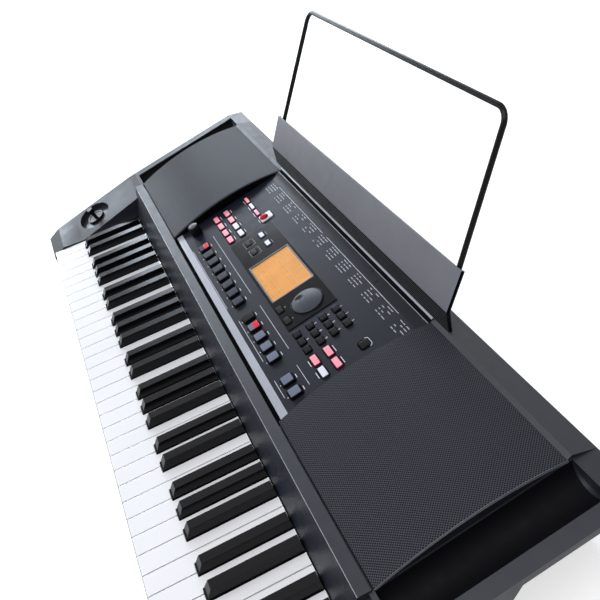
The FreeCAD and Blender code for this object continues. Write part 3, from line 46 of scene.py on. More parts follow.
# Places that the looks share with the solids, in millimetres: X from the middle, depth from the case's front.
CASE_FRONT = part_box("bottom_case")[0].y / MM
CASE_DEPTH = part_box("bottom_case")[1].y / MM - CASE_FRONT
CASE_HALF = 465.0
PANEL_FRONT = 182.5
PANEL_Z = 94.0
PANEL_TILT = math.radians(11.66)
PANEL_HALF = 206.5
PANEL_LENGTH = 177.0
PANEL_THICK = 2.5
PANEL_REAR_Z = PANEL_Z + PANEL_LENGTH * math.sin(PANEL_TILT)
BUTTON_FOOT = -4.6
BEZEL_TOP = 1.2
KEY_TOP = 52.0
RAIL_TOP = 98.0
RAIL_FOOT = 150.5
RAIL_EDGE = 166.0
RAIL_BACK = 178.5
RAIL_ENDS = (-393.0, 409.0)
RIDGE_DEPTH = 362.0
RIDGE_RISE = 4.5
RIDGE_RUN = 4.0
RIDGE_Z = PANEL_REAR_Z + RIDGE_RISE
RIM_WIDTH = 15.0
RIM_DROP = 4.3
RIM_SLOPE = (PANEL_REAR_Z - RAIL_TOP + RIM_DROP) / (RIDGE_DEPTH - RAIL_EDGE)
POD_INNER = 207.0
POD_OUTER = 409.0
POD_FRONT = 180.5
POD_REAR = 358.5
POD_CROWN = 12.0
CHORD_REAR_Z = PANEL_REAR_Z + PANEL_THICK / 2
VALLEY_DEPTH = 18.0
FIT_GAP = 0.3
BOTH_SIDES = ((-1, "left"), (1, "right"))

PANEL_PLACE = (Matrix.Translation((0, (PANEL_FRONT + CASE_FRONT) * MM, PANEL_Z * MM))
               @ Matrix.Rotation(PANEL_TILT, 4, "X") @ Matrix.Scale(MM, 4))
CASE_PLACE = Matrix.Translation((0, CASE_FRONT * MM, 0)) @ Matrix.Scale(MM, 4)


# Materials.

def srgb(red, green, blue):
    """A colour given as it looks on screen, from 0 to 255, as the shader needs it."""
    shares = [value / 255 for value in (red, green, blue)]
    linear = [share / 12.92 if share <= 0.04045 else ((share + 0.055) / 1.055) ** 2.4 for share in shares]
    return (*linear, 1.0)


def shade(colour, factor):
    return (*[min(1.0, value * factor) for value in colour[:3]], 1.0)


class Surface:
    """A material under construction, with short ways to add texture nodes."""

    def __init__(self, name, roughness, specular=0.5):
        self.material = bpy.data.materials.new(name)
        self.material.use_nodes = True
        self.tree = self.material.node_tree
        self.shader = self.tree.nodes["Principled BSDF"]
        self.shader.inputs["Roughness"].default_value = roughness
        self.shader.inputs["Specular IOR Level"].default_value = specular
        self.place = self.add("ShaderNodeTexCoord").outputs["Object"]

    def add(self, kind, **settings):
        node = self.tree.nodes.new(kind)
        for name, value in settings.items():
            setattr(node, name, value)
        return node

    def join(self, source, target):
        self.tree.links.new(source, target)

    def noise(self, size_mm, detail):
        """Noise whose patches are about size_mm wide."""
        node = self.add("ShaderNodeTexNoise")
        node.inputs["Scale"].default_value = 1 / (size_mm * MM)
        node.inputs["Detail"].default_value = detail
        self.join(self.place, node.inputs["Vector"])
        return node.outputs["Fac"]

    def spread(self, value, low, high, start=0.3, end=0.7):
        """Maps a texture value onto a range."""
        node = self.add("ShaderNodeMapRange")
        node.inputs["From Min"].default_value = start
        node.inputs["From Max"].default_value = end
        node.inputs["To Min"].default_value = low
        node.inputs["To Max"].default_value = high
        self.join(value, node.inputs["Value"])
        return node.outputs["Result"]

    def distance(self, source, spot):
        node = self.add("ShaderNodeVectorMath", operation="DISTANCE")
        node.inputs[1].default_value = spot
        self.join(source, node.inputs[0])
        return node.outputs["Value"]

    def blend(self, value, low, high):
        """A colour between two colours or textures, by a texture value."""
        node = self.add("ShaderNodeMix", data_type="RGBA")
        self.join(value, node.inputs["Factor"])
        for socket, colour in ((node.inputs[6], low), (node.inputs[7], high)):
            if isinstance(colour, bpy.types.NodeSocket):
                self.join(colour, socket)
            else:
                socket.default_value = colour
        return node.outputs[2]

    def mottle(self, size_mm, colour, drift):
        """A colour that drifts a little in patches."""
        patches = self.spread(self.noise(size_mm, detail=4), 0, 1)
        return self.blend(patches, shade(colour, 1 - drift), shade(colour, 1 + drift))

    def colour(self, socket):
        self.join(socket, self.shader.inputs["Base Color"])

    def roughen(self, value, low, high):
        self.join(self.spread(value, low, high), self.shader.inputs["Roughness"])

    def bump(self, height, depth_mm, strength=1.0):
        node = self.add("ShaderNodeBump")
        node.inputs["Strength"].default_value = strength
        node.inputs["Distance"].default_value = depth_mm * MM
        self.join(height, node.inputs["Height"])
        self.join(node.outputs["Normal"], self.shader.inputs["Normal"])


PATCH_MM = 60
WEAR_MM = 14
WEAR = 0.12
COAT_ROUGHNESS = 0.06


def plastic(name, colour, roughness, grain_mm=0.5, depth_mm=0.02, drift=0.08, specular=0.5, coat=0.0):
    """Moulded plastic: fine grain, slight drift of colour, hand-worn patches of gloss."""
    surface = Surface(name, roughness, specular)
    surface.colour(surface.mottle(PATCH_MM, colour, drift))
    surface.roughen(surface.noise(WEAR_MM, detail=5), roughness * (1 - WEAR), roughness * (1 + WEAR))
    surface.bump(surface.noise(grain_mm, detail=2), depth_mm)
    surface.shader.inputs["Coat Weight"].default_value = coat
    surface.shader.inputs["Coat Roughness"].default_value = COAT_ROUGHNESS
    return surface.material


MESH_PITCH_MM = 1.9
MESH_HOLE = (0.33, 0.41)
MESH_RELIEF_MM = 0.35


def mesh_metal(name):
    """Painted steel sheet with rows of small holes set on the diagonal."""
    surface = Surface(name, roughness=0.45, specular=0.09)
    turn = surface.add("ShaderNodeMapping")
    turn.inputs["Rotation"].default_value = (0, 0, math.radians(45))
    per_metre = 1 / (MESH_PITCH_MM * MM)
    turn.inputs["Scale"].default_value = (per_metre, per_metre, 0)
    surface.join(surface.place, turn.inputs["Vector"])
    cell = surface.add("ShaderNodeVectorMath", operation="FRACTION")
    surface.join(turn.outputs["Vector"], cell.inputs[0])
    middle = surface.distance(cell.outputs["Vector"], (0.5, 0.5, 0))
    land = surface.spread(middle, 0, 1, *MESH_HOLE)
    patches = surface.spread(surface.noise(size_mm=50, detail=3), low=0.85, high=1.1)
    paint = surface.blend(patches, srgb(52, 54, 61), srgb(61, 63, 71))
    surface.colour(surface.blend(land, srgb(2, 2, 3), paint))
    surface.bump(land, MESH_RELIEF_MM, strength=0.8)
    return surface.material


DIMPLE = (63.7, 267.6, 115.6)
DIMPLE_RADIUS = 5.6
DIMPLE_EDGE = 1.0
DIMPLE_SHADE = 0.02


def dimpled(name, colour):
    """Plastic of the data wheel, with painted shade inside its finger dimple."""
    surface = Surface(name, roughness=0.42, specular=0.25)
    reach = surface.distance(surface.place, CASE_PLACE @ Vector(DIMPLE))
    rim = surface.spread(reach, 0, 1, (DIMPLE_RADIUS - DIMPLE_EDGE) * MM, DIMPLE_RADIUS * MM)
    paint = surface.mottle(size_mm=9, colour=colour, drift=0.1)
    # Painted shade: near-black inside the dimple, rising to the wheel's own colour over its last millimetre.
    surface.colour(surface.blend(rim, shade(colour, DIMPLE_SHADE), paint))
    surface.bump(surface.noise(size_mm=0.5, detail=2), depth_mm=0.012)
    return surface.material


def glowing(name, colour, strength):
    """Back-lit display film with faintly uneven light."""
    surface = Surface(name, roughness=0.4, specular=0.1)
    cloud = surface.spread(surface.noise(size_mm=26, detail=2), 0, 1)
    tint = surface.blend(cloud, shade(colour, 0.9), shade(colour, 1.04))
    surface.colour(tint)
    surface.join(tint, surface.shader.inputs["Emission Color"])
    surface.shader.inputs["Emission Strength"].default_value = strength
    surface.bump(surface.noise(size_mm=0.4, detail=1), depth_mm=0.01)
    return surface.material


def clear(name):
    """Thin clear window with a faint smear in its gloss."""
    surface = Surface(name, roughness=0.05)
    surface.roughen(surface.noise(size_mm=18, detail=4), low=0.03, high=0.09)
    surface.shader.inputs["Base Color"].default_value = srgb(40, 36, 30)
    surface.shader.inputs["Alpha"].default_value = 0.04
    return surface.material


# Each: name, colour, roughness, then size and depth of the grain in millimetres.
CASE = plastic("case_plastic", srgb(30, 33, 41), 0.42, 0.45, 0.03, specular=0.36)
# Painted shade: the hollows beside the pods are case plastic, darkened for the shadow in them.
VALLEY_SHADE = plastic("valley_painted_shade", srgb(12, 12, 15), 0.6, 0.45, 0.03, specular=0.05)
PANEL = plastic("panel_plastic", srgb(17, 19, 30), 0.42, 0.35, 0.02, specular=0.15)
BASE = plastic("base_plastic", srgb(24, 24, 27), 0.5, 0.6, 0.05, specular=0.3)
RUBBER = plastic("rubber", srgb(22, 22, 22), 0.8, 0.9, 0.06)
STEEL = plastic("screw_steel", srgb(150, 150, 155), 0.35, 0.3, 0.02)
STEEL.node_tree.nodes["Principled BSDF"].inputs["Metallic"].default_value = 1.0
BOARD = plastic("circuit_board", srgb(30, 84, 48), 0.45, 0.8, 0.03)
INNER = plastic("inner_plastic", srgb(96, 96, 100), 0.55, 0.6, 0.04)
FELT = plastic("felt", srgb(120, 24, 30), 0.95, 0.4, 0.2)
GRILLE = mesh_metal("grille_metal")
SPEAKER = plastic("speaker_metal", srgb(40, 40, 42), 0.45, 0.5, 0.03)
PAPER = plastic("cone_paper", srgb(40, 40, 40), 0.9, 0.7, 0.08)
GLOSS = plastic("gloss_black", srgb(13, 13, 16), 0.18, 3.0, 0.004, specular=0.12)
STICK = plastic("stick_plastic", srgb(9, 9, 12), 0.35, 1.0, 0.01, specular=0.1)
# Painted highlight: pale grey for the bowl inside the joystick's collar, where the black collar catches the
# light.
SEAT_HIGHLIGHT = plastic("stick_seat_painted_highlight", srgb(196, 197, 204), 0.25, 0.6, 0.01)
WHEEL = dimpled("wheel_plastic", srgb(44, 47, 55))
WINDOW_EDGE = plastic("window_edge", srgb(92, 94, 100), 0.35, 0.5, 0.01)
# Painted highlight: the panel's front lip is dark panel plastic, coloured pale grey for the light it catches.
LIP_HIGHLIGHT = plastic("panel_lip_painted_highlight", srgb(152, 155, 165), 0.35, 0.35, 0.015, specular=0.3)
COVE = plastic("cove_plastic", srgb(17, 19, 26), 0.3, 0.35, 0.012, specular=0.12)
# Painted highlight: pale grey for the thin beads on the rail's edge and the ridge, which are dark case
# plastic.
EDGE_HIGHLIGHT = plastic("painted_edge_highlight", srgb(150, 153, 163), 0.25, 0.6, 0.01)
# Painted highlight: mid grey for the beads along each grille's outer edge, which are dark case plastic.
POD_EDGE_HIGHLIGHT = plastic("pod_edge_painted_highlight", srgb(92, 94, 101), 0.25, 0.6, 0.01)
KNOB = plastic("knob_plastic", srgb(14, 14, 16), 0.4, 0.5, 0.02, specular=0.2)
KNOB_TOP = plastic("knob_top", srgb(72, 74, 80), 0.35, 0.4, 0.02, specular=0.3)
REST_DARK = plastic("rest_dark", srgb(9, 9, 11), 0.5, 0.5, 0.02, specular=0.06)
# Painted highlight: lighter grey for the flat faces of the rest's ribs, which are near-black plastic.
REST_RIB_HIGHLIGHT = plastic("rest_rib", srgb(44, 44, 48), 0.4, 0.5, 0.02, specular=0.2)
REST_GREY = plastic("rest_grey", srgb(94, 95, 102), 0.42, 0.4, 0.025, specular=0.35)
WIRE = plastic("wire_black", srgb(9, 9, 11), 0.25, 2.0, 0.006, specular=0.12)
IVORY = plastic("white_key", srgb(225, 225, 229), 0.16, 4.0, 0.004, drift=0.015, coat=0.3)
EBONY = plastic("black_key", srgb(10, 10, 13), 0.2, 3.0, 0.004, specular=0.2)
PINK = plastic("pink_button", srgb(238, 148, 164), 0.3, 0.6, 0.01, drift=0.04, specular=0.3)
PALE = plastic("white_button", srgb(208, 210, 222), 0.3, 0.6, 0.01, drift=0.03, specular=0.3)
BLACK_BUTTON = plastic("black_button", srgb(9, 10, 13), 0.32, 0.5, 0.015, specular=0.12)
# Lit and shaded copies of one grey button plastic: darker on the start and style buttons as painted shade,
# lighter on the pads and transpose buttons as painted light.
GREY_BUTTON_SHADED = plastic("grey_button", srgb(47, 50, 63), 0.35, 0.5, 0.015, specular=0.12)
GREY_BUTTON_LIT = plastic("grey_button_painted_light", srgb(96, 102, 122), 0.35, 0.5, 0.015, specular=0.2)
RED = plastic("red_button", srgb(206, 34, 58), 0.28, 0.6, 0.01, specular=0.2)
RED_DOME = plastic("record_red", srgb(168, 8, 28), 0.25, 0.6, 0.01, specular=0.15)
# Painted shade: darker copies of the button colours for the caps' sides and rounded edges.
PINK_SHADED_SIDE = plastic("pink_side_painted_shade", srgb(112, 36, 50), 0.4, 0.6, 0.01, specular=0.15)
PALE_SHADED_SIDE = plastic("white_side_painted_shade", srgb(78, 80, 90), 0.4, 0.6, 0.01, specular=0.15)
DARK_SHADED_SIDE = plastic("dark_side_painted_shade", srgb(11, 12, 15), 0.4, 0.6, 0.01, specular=0.1)
AMBER = glowing("amber_display", srgb(217, 157, 88), strength=0.16)
AMBER_MARK = plastic("display_marks", srgb(216, 154, 88), 0.4, 0.5, 0.005, specular=0.1)
GLASS = clear("window_glass")
INK = plastic("printed_white", srgb(206, 208, 216), 0.5, 0.3, 0.004)
INK_FAINT = plastic("printed_grey", srgb(150, 152, 160), 0.5, 0.3, 0.004)
# Painted shade: near-black laid in gaps, grooves and recesses and on walls that stand in shadow.
SHADE_BLACK = plastic("painted_shade_black", srgb(6, 6, 7), 0.8, 0.5, 0.02, specular=0.03)


# Pieces.

MERGE_MM = 1e-5
BEAD_STEPS = 3
ROUND_STEPS = 48
FINE_STEPS = 64
SMALL_STEPS = 24


def put(name, data):
    """A new object in the scene, with its mesh, curve, lamp or camera."""
    piece = bpy.data.objects.new(name, data)
    bpy.context.scene.collection.objects.link(piece)
    return piece


def place_piece(name, data, body):
    """Puts a mesh or curve into the scene and lets it ride on a body."""
    piece = put(name, data)
    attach(piece, body)
    return piece


def make(name, mesh_builder, place, materials, body, node=None, smooth=35):
    """Builds a piece in its own frame and sets it in place; with a node, it stands in for that solid."""
    bm = bmesh.new()
    mesh_builder(bm)
    bmesh.ops.remove_doubles(bm, verts=bm.verts, dist=MERGE_MM)
    bmesh.ops.recalc_face_normals(bm, faces=bm.faces)
    bm.transform(place)
    mesh = bpy.data.meshes.new(name)
    bm.to_mesh(mesh)
    bm.free()
    for material in materials:
        mesh.materials.append(material)
    mesh.polygons.foreach_set("use_smooth", [True] * len(mesh.polygons))
    mesh.set_sharp_from_angle(angle=math.radians(smooth))
    piece = place_piece(name, mesh, body)
    if node:
        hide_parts(node)


def tube(name, points, radius_mm, place, material, body):
    """A round bead along a line of points."""
    curve = bpy.data.curves.new(name, "CURVE")
    curve.dimensions = "3D"
    curve.bevel_depth = radius_mm * MM
    curve.bevel_resolution = BEAD_STEPS
    spline = curve.splines.new("POLY")
    spline.points.add(len(points) - 1)
    for spot, point in zip(spline.points, points):
        spot.co = (*(place @ Vector(point)), 1)
    curve.materials.append(material)
    place_piece(name, curve, body)


def skin(bm, loops, cap_low=True, cap_high=True, material=0):
    """Faces between closed loops of points, with caps at both ends."""
    rings = [[bm.verts.new(point) for point in loop] for loop in loops]
    for low, high in zip(rings, rings[1:]):
        count = len(low)
        for i in range(count):
            face = bm.faces.new((low[i], low[(i + 1) % count], high[(i + 1) % count], high[i]))
            face.material_index = material
    for ring, wanted in ((rings[0], cap_low), (rings[-1], cap_high)):
        if wanted:
            bm.faces.new(ring).material_index = material


def sleeve(bm, loops):
    """Faces between closed loops, open at both ends."""
    skin(bm, loops, cap_low=False, cap_high=False)


def patch(bm, points, material=0):
    bm.faces.new([bm.verts.new(point) for point in points]).material_index = material


def mark(bm, left, right, front, rear, z, material=0):
    patch(bm, [(left, front, z), (right, front, z), (right, rear, z), (left, rear, z)], material)


LEAST_FLAT = 0.01
CORNER_STEPS = 5


def rounded(x, y, width, length, radius, z):
    """A closed loop round a rectangle with rounded corners."""
    radius = min(radius, width / 2 - LEAST_FLAT, length / 2 - LEAST_FLAT)
    points = []
    for corner, (side_x, side_y) in enumerate(((1, 1), (-1, 1), (-1, -1), (1, -1))):
        middle_x = x + side_x * (width / 2 - radius)
        middle_y = y + side_y * (length / 2 - radius)
        for step in range(CORNER_STEPS + 1):
            angle = math.radians(90 * (corner + step / CORNER_STEPS))
            points.append((middle_x + radius * math.cos(angle), middle_y + radius * math.sin(angle), z))
    return points


def circle(x, y, radius, z, count=ROUND_STEPS):
    turns = [2 * math.pi * step / count for step in range(count)]
    return [(x + radius * math.cos(turn), y + radius * math.sin(turn), z) for turn in turns]


EDGE_STEPS = 4
CROWN_SHARES = (0.6, 0.25)


def cap_loops(x, y, width, length, low, high, corner, edge, dome):
    """Loops of a block with rounded corners, up to its rounded top edge and over its crowned top."""
    sides = [rounded(x, y, width, length, corner, low)]
    for step in range(EDGE_STEPS + 1):
        angle = math.radians(90 * step / EDGE_STEPS)
        inset = edge * (1 - math.cos(angle))
        height = high - edge + edge * math.sin(angle)
        sides.append(rounded(x, y, width - 2 * inset, length - 2 * inset, corner, height))
    top = [rounded(x, y, width * share, length * share, corner * share, high + dome * (1 - share))
           for share in CROWN_SHARES]
    return sides, top


def slab(bm, x, y, width, length, low, high, corner, edge, dome, material=0):
    sides, top = cap_loops(x, y, width, length, low, high, corner, edge, dome)
    skin(bm, sides + top, material=material)


def keycap(bm, x, y, width, length, low, high, corner, edge, dome):
    """A block whose sides and rounded edge take the second material, in most caps a darker copy of its colour
    as painted shade.
    """
    sides, top = cap_loops(x, y, width, length, low, high, corner, edge, dome)
    skin(bm, sides, cap_high=False, material=1)
    skin(bm, sides[-1:] + top, cap_low=False)


def turned(bm, x, y, outline, material=0, count=ROUND_STEPS):
    """A turned form: pairs of radius and height round an upright axis."""
    skin(bm, [circle(x, y, radius, z, count) for radius, z in outline], material=material)


def extruded(bm, profile, left, right):
    """A profile in depth and height, carried along X."""
    skin(bm, [[(x, y, z) for y, z in profile] for x in (left, right)])


WELD_REACH = 2e-6
FLAT_ANGLE = math.radians(0.4)
EDGE_ANGLE = math.radians(35)


def soften(node, material, width_mm, segments=2):
    """Gives a solid its material and rounds its edges."""
    piece = NODES[node]
    piece.data.materials.clear()
    piece.data.materials.append(material)
    weld = piece.modifiers.new("weld", "WELD")
    weld.merge_threshold = WELD_REACH
    flat = piece.modifiers.new("flat", "DECIMATE")
    flat.decimate_type = "DISSOLVE"
    flat.angle_limit = FLAT_ANGLE
    if width_mm:
        bevel = piece.modifiers.new("round", "BEVEL")
        bevel.width = width_mm * MM
        bevel.segments = segments
        bevel.limit_method = "ANGLE"
        bevel.angle_limit = EDGE_ANGLE
        bevel.use_clamp_overlap = True
    normals = piece.modifiers.new("normals", "WEIGHTED_NORMAL")
    normals.keep_sharp = True


# Each solid that shows as it is: node, material, rounding in millimetres.
DRESSED = (
    ("top_case", CASE, 1.0), ("bottom_case", BASE, 0.8), ("rubber_feet", RUBBER, 1.2),
    ("battery_cover", BASE, 0.6), ("main_board", BOARD, 0), ("rear_jacks", BASE, 0.3),
    ("dc_inlet", BASE, 0.2), ("key_chassis", INNER, 0.5), ("key_felt_strip", FELT, 0.4),
    ("key_contact_board", BOARD, 0), ("rubber_contact_strip", RUBBER, 0.2),
    ("left_speaker_grille", GRILLE, 0.5), ("right_speaker_grille", GRILLE, 0.5),
    ("speaker_frames", SPEAKER, 0.6), ("speaker_cones", PAPER, 0), ("control_panel", PANEL, 0.25),
    ("panel_board", BOARD, 0), ("display_bezel", GLOSS, 0.3), ("display_window", GLASS, 0),
    ("lcd_module", AMBER, 0), ("data_wheel", WHEEL, 0.5), ("joystick_housing", STICK, 0.6),
    ("joystick_gimbal", INNER, 0.2), ("joystick_stick", STICK, 0.7), ("rest_wire", WIRE, 0))
WHITE_KEY_EDGE = 0.7
BLACK_KEY_EDGE = 0.9


def dress_solids():
    for node, material, width in DRESSED:
        soften(node, material, width)
    for node in NODES:
        if node.startswith("keys_"):
            sharp = node.endswith("sharp")
            material, edge = (EBONY, BLACK_KEY_EDGE) if sharp else (IVORY, WHITE_KEY_EDGE)
            soften(node, material, edge, segments=3)


# Buttons: places on the panel along X and up the slope.

BUTTON_PITCH = 20.6


def spaced(first, count, pitch=BUTTON_PITCH):
    return [first + pitch * place for place in range(count)]


BANK_X = spaced(-186.5, 4)
STYLE_X = spaced(-142.0, 8)
PAD_X = spaced(38.8, 8)
MEMORY_X = spaced(160.0, 2)
NUMBER_X = spaced(110.5, 3, 14.7)
SELECT_X = spaced(-91.5, 2, 23.5)
PAGE_X = spaced(59.6, 2, 23.5)
ROW = spaced(63.0, 4, 17.1)
SELECT_ROW = spaced(78.5, 2, 21.5)
FRONT_ROW = 27.9
RECORD_PLACE = (BANK_X[3], ROW[3] + 6.2)
POWER_PLACE = (179.5, ROW[3])

# Width, length and rise above the panel.
BANK = (16, 8, 2.0)
MODE = (16, 5, 2.0)
STYLE = (13, 14, 4.0)
NUMBER = (10, 7.6, 2.5)
SELECT = (12, 7, 2.7)
POWER = (11, 11, 1.5)
RECORD = (16, 18, 2.0)

SHADED_SIDES = {PINK: PINK_SHADED_SIDE, PALE: PALE_SHADED_SIDE, GREY_BUTTON_SHADED: DARK_SHADED_SIDE, GREY_BUTTON_LIT: DARK_SHADED_SIDE,
         BLACK_BUTTON: DARK_SHADED_SIDE}
BUTTONS = {
    "bank_buttons_front": (BANK, PINK, [(x, ROW[0]) for x in BANK_X]),
    "bank_buttons_rear": (BANK, PINK, [(x, ROW[1]) for x in BANK_X[:2]]),
    "bank_buttons_white": (BANK, PALE, [(x, ROW[1]) for x in BANK_X[2:]]),
    "mode_buttons_pink": (MODE, PINK, [(BANK_X[0], ROW[3]), (BANK_X[2], ROW[3])]),
    "mode_button_white": (MODE, PALE, [(BANK_X[1], ROW[3])]),
    "record_button": (RECORD, PALE, [RECORD_PLACE]),
    "select_buttons_white": (SELECT, PALE, [(x, SELECT_ROW[1]) for x in SELECT_X]),
    "select_buttons_black": (SELECT, BLACK_BUTTON, [(x, SELECT_ROW[0]) for x in SELECT_X]),
    "page_buttons": (SELECT, BLACK_BUTTON, [(x, ROW[0]) for x in PAGE_X]),
    "start_button": (STYLE, GREY_BUTTON_SHADED, [(STYLE_X[0], FRONT_ROW)]),
    "style_buttons": (STYLE, GREY_BUTTON_SHADED, [(x, FRONT_ROW) for x in STYLE_X[1:]]),
    "pad_button_black": (STYLE, BLACK_BUTTON, [(PAD_X[0], FRONT_ROW)]),
    "pad_button_red": (STYLE, GREY_BUTTON_LIT, [(PAD_X[1], FRONT_ROW)]),
    "pad_buttons_grey": (STYLE, GREY_BUTTON_LIT, [(x, FRONT_ROW) for x in PAD_X[2:5]]),
    "transpose_buttons": (STYLE, GREY_BUTTON_LIT, [(x, FRONT_ROW) for x in PAD_X[6:]]),
    "number_buttons": (NUMBER, BLACK_BUTTON, [(x, y) for x in NUMBER_X for y in ROW]),
    "memory_buttons_pink": (BANK, PINK, [(MEMORY_X[0], ROW[0]), (MEMORY_X[0], ROW[1]),
                                         (MEMORY_X[1], ROW[1])]),
    "memory_button_white": (BANK, PALE, [(MEMORY_X[1], ROW[0])]),
    "power_button": (POWER, BLACK_BUTTON, [POWER_PLACE]),
}
ON_BEZEL = ("select_buttons_white", "select_buttons_black", "page_buttons")
HALF_LIT = ("start_button", "pad_button_red")

# Corner, rounded edge and crown, for each kind of block.
FLANGE_EDGES = (1.0, 0.3, 0)
LENS_EDGES = (1.4, 0.6, 0.1)
FLANGE = 1.2
FLANGE_THICK = 1.8
CAP_CROWN = 0.15
CAP_EDGE = 0.9
CAP_EDGE_SHARE = 0.08
CAP_CORNER_SHARE = 1.5
LENS_INSET = 0.5
LENS_SINK = 1.0
LENS_RISE = 0.2
LENS_SHARE = 0.52
LENS_SHIFT_SHARE = 0.22
DISC_SHIFT = -2.6
DISC_OUTLINE = ((6.0, 1.7), (6.0, 2.4), (5.6, 3.4), (4.4, 4.4), (2.4, 5.1), (0.6, 5.3))


def make_buttons():
    """Caps with crowned tops; two of them have a lit rear half, one a red disc."""
    for node, ((width, length, rise), material, places) in BUTTONS.items():
        def build(bm):
            edge = min(CAP_EDGE, CAP_EDGE_SHARE * length)
            for x, y in places:
                slab(bm, x, y, width + 2 * FLANGE, length + 2 * FLANGE, BUTTON_FOOT,
                     BUTTON_FOOT + FLANGE_THICK, *FLANGE_EDGES, 1)
                keycap(bm, x, y, width, length, BUTTON_FOOT + FLANGE, rise - CAP_CROWN,
                       CAP_CORNER_SHARE * edge, edge, CAP_CROWN)
        # The caps' sides take a darker copy of the cap colour as painted shade; the record button keeps its
        # pale colour there.
        side = PALE if node == "record_button" else SHADED_SIDES[material]
        make(node + "_caps", build, PANEL_PLACE, [material, side], node, node)
    for node in HALF_LIT:
        (width, length, rise), _, [(x, y)] = BUTTONS[node]

        def lit(bm):
            slab(bm, x, y + length * LENS_SHIFT_SHARE, width - 2 * LENS_INSET, length * LENS_SHARE,
                 rise - LENS_SINK, rise + LENS_RISE, *LENS_EDGES)
        make(node + "_lens", lit, PANEL_PLACE, [RED], node)

    def disc(bm):
        x, y = RECORD_PLACE
        turned(bm, x, y + DISC_SHIFT, DISC_OUTLINE)
    make("record_button_disc", disc, PANEL_PLACE, [RED_DOME], "record_button")


KNOB_PLACE = (-187.0, 30.0)
KNOB_RIBS = 40
# Radius, height and depth of the knurl, from foot to top.
KNOB_RINGS = ((7.4, 0.4, 0), (7.9, 1.0, 0.35), (7.6, 13.8, 0.35), (7.2, 14.8, 0.1), (6.6, 15.2, 0))
KNOB_STEM = ((3.0, -10.0), (3.0, 0.6))
KNOB_CROWN = ((5.0, 14.6), (5.0, 15.3), (4.6, 15.6), (2.4, 15.8), (0.5, 15.85))
# Width, length, foot, top, corner, rounded edge and crown.
POINTER = (0.9, 3.4, 15.0, 15.5, 0.3, 0.1, 0)
POINTER_SHIFT = 5.0


def make_knob():
    """Knurled volume knob with a pale top and a pointer line."""
    x, y = KNOB_PLACE

    def ring(radius, z, knurl):
        points = []
        for i in range(2 * KNOB_RIBS):
            reach = radius - knurl * (i % 2)
            turn = math.pi * i / KNOB_RIBS
            points.append((x + reach * math.cos(turn), y + reach * math.sin(turn), z))
        return points

    def build(bm):
        skin(bm, [ring(*row) for row in KNOB_RINGS])
        turned(bm, x, y, KNOB_STEM, count=SMALL_STEPS)
        turned(bm, x, y, KNOB_CROWN, 1)
        slab(bm, x, y + POINTER_SHIFT, *POINTER, 2)
    make("volume_knob_cap", build, PANEL_PLACE, [KNOB, KNOB_TOP, INK], "volume_knob", "volume_knob")


# Print on the panel: plain rules, short index dashes and the numerals of the keypad.

PRINT_Z = 0.03
BEZEL_PRINT_Z = BEZEL_TOP + PRINT_Z
RULE_HALF = 0.22
# Left end, right end and place up the slope.
RULES = [(-158.6, 0.0, 46.2), (-152.3, 0.0, 11.6), (29.8, 121.5, 47.0), (32.2, 116.2, 16.0),
         (150.8, 180.5, 15.6), (149.6, 184.0, 44.4), (-171.5, -22.7, 161.6), (-10.0, 170.3, 161.8)]
# Columns and row of the buttons, then the tick's sides and ends counted from the button's middle.
FRONT_X = STYLE_X + PAD_X[:5] + PAD_X[6:]
PANEL_TICKS = [
    (FRONT_X, FRONT_ROW, (-3.0, 3.0), (9.6, 10.3)), (FRONT_X, FRONT_ROW, (-0.6, 0.6), (-9.9, -8.9)),
    (BANK_X, ROW[0], (-4.5, 4.5), (6.4, 7.1)), (BANK_X, ROW[1], (-5.0, 3.0), (6.4, 7.1)),
    (BANK_X, ROW[3], (-5.0, 5.0), (-5.2, -4.5)), (MEMORY_X, ROW[0], (-5.5, 4.0), (-7.2, -6.5)),
    (MEMORY_X, ROW[1], (-5.5, 5.0), (6.4, 7.1))]
BEZEL_TICKS = [(SELECT_X, SELECT_ROW[1], (-4.0, 4.0), (6.0, 6.6)), (PAGE_X, ROW[0], (-0.6, 0.6), (6.5, 7.6))]
FRAME_HALF = 7.4
FRAME_FRONT = SELECT_ROW[0] - 5.2
FRAME_REAR = SELECT_ROW[0] + 9.0
FRAME_LINE = 0.2
INDEX_FIRST = -188
INDEX_PITCH = 33.4
INDEX_WIDTH = 0.68 * INDEX_PITCH
INDEX_COLUMNS = 12
INDEX_ROWS = [146.4, 150.6, 154.8, 158.6]
DASH_SHARES = ((0.00, 0.22), (0.27, 0.50), (0.55, 0.86))
DASH_HALF = 0.5
DASH_TRIM = 0.6
SKIP_EVERY = 7


def draw_ticks(bm, ticks, z):
    for columns, row, (left, right), (front, rear) in ticks:
        for x in columns:
            mark(bm, x + left, x + right, row + front, row + rear, z)


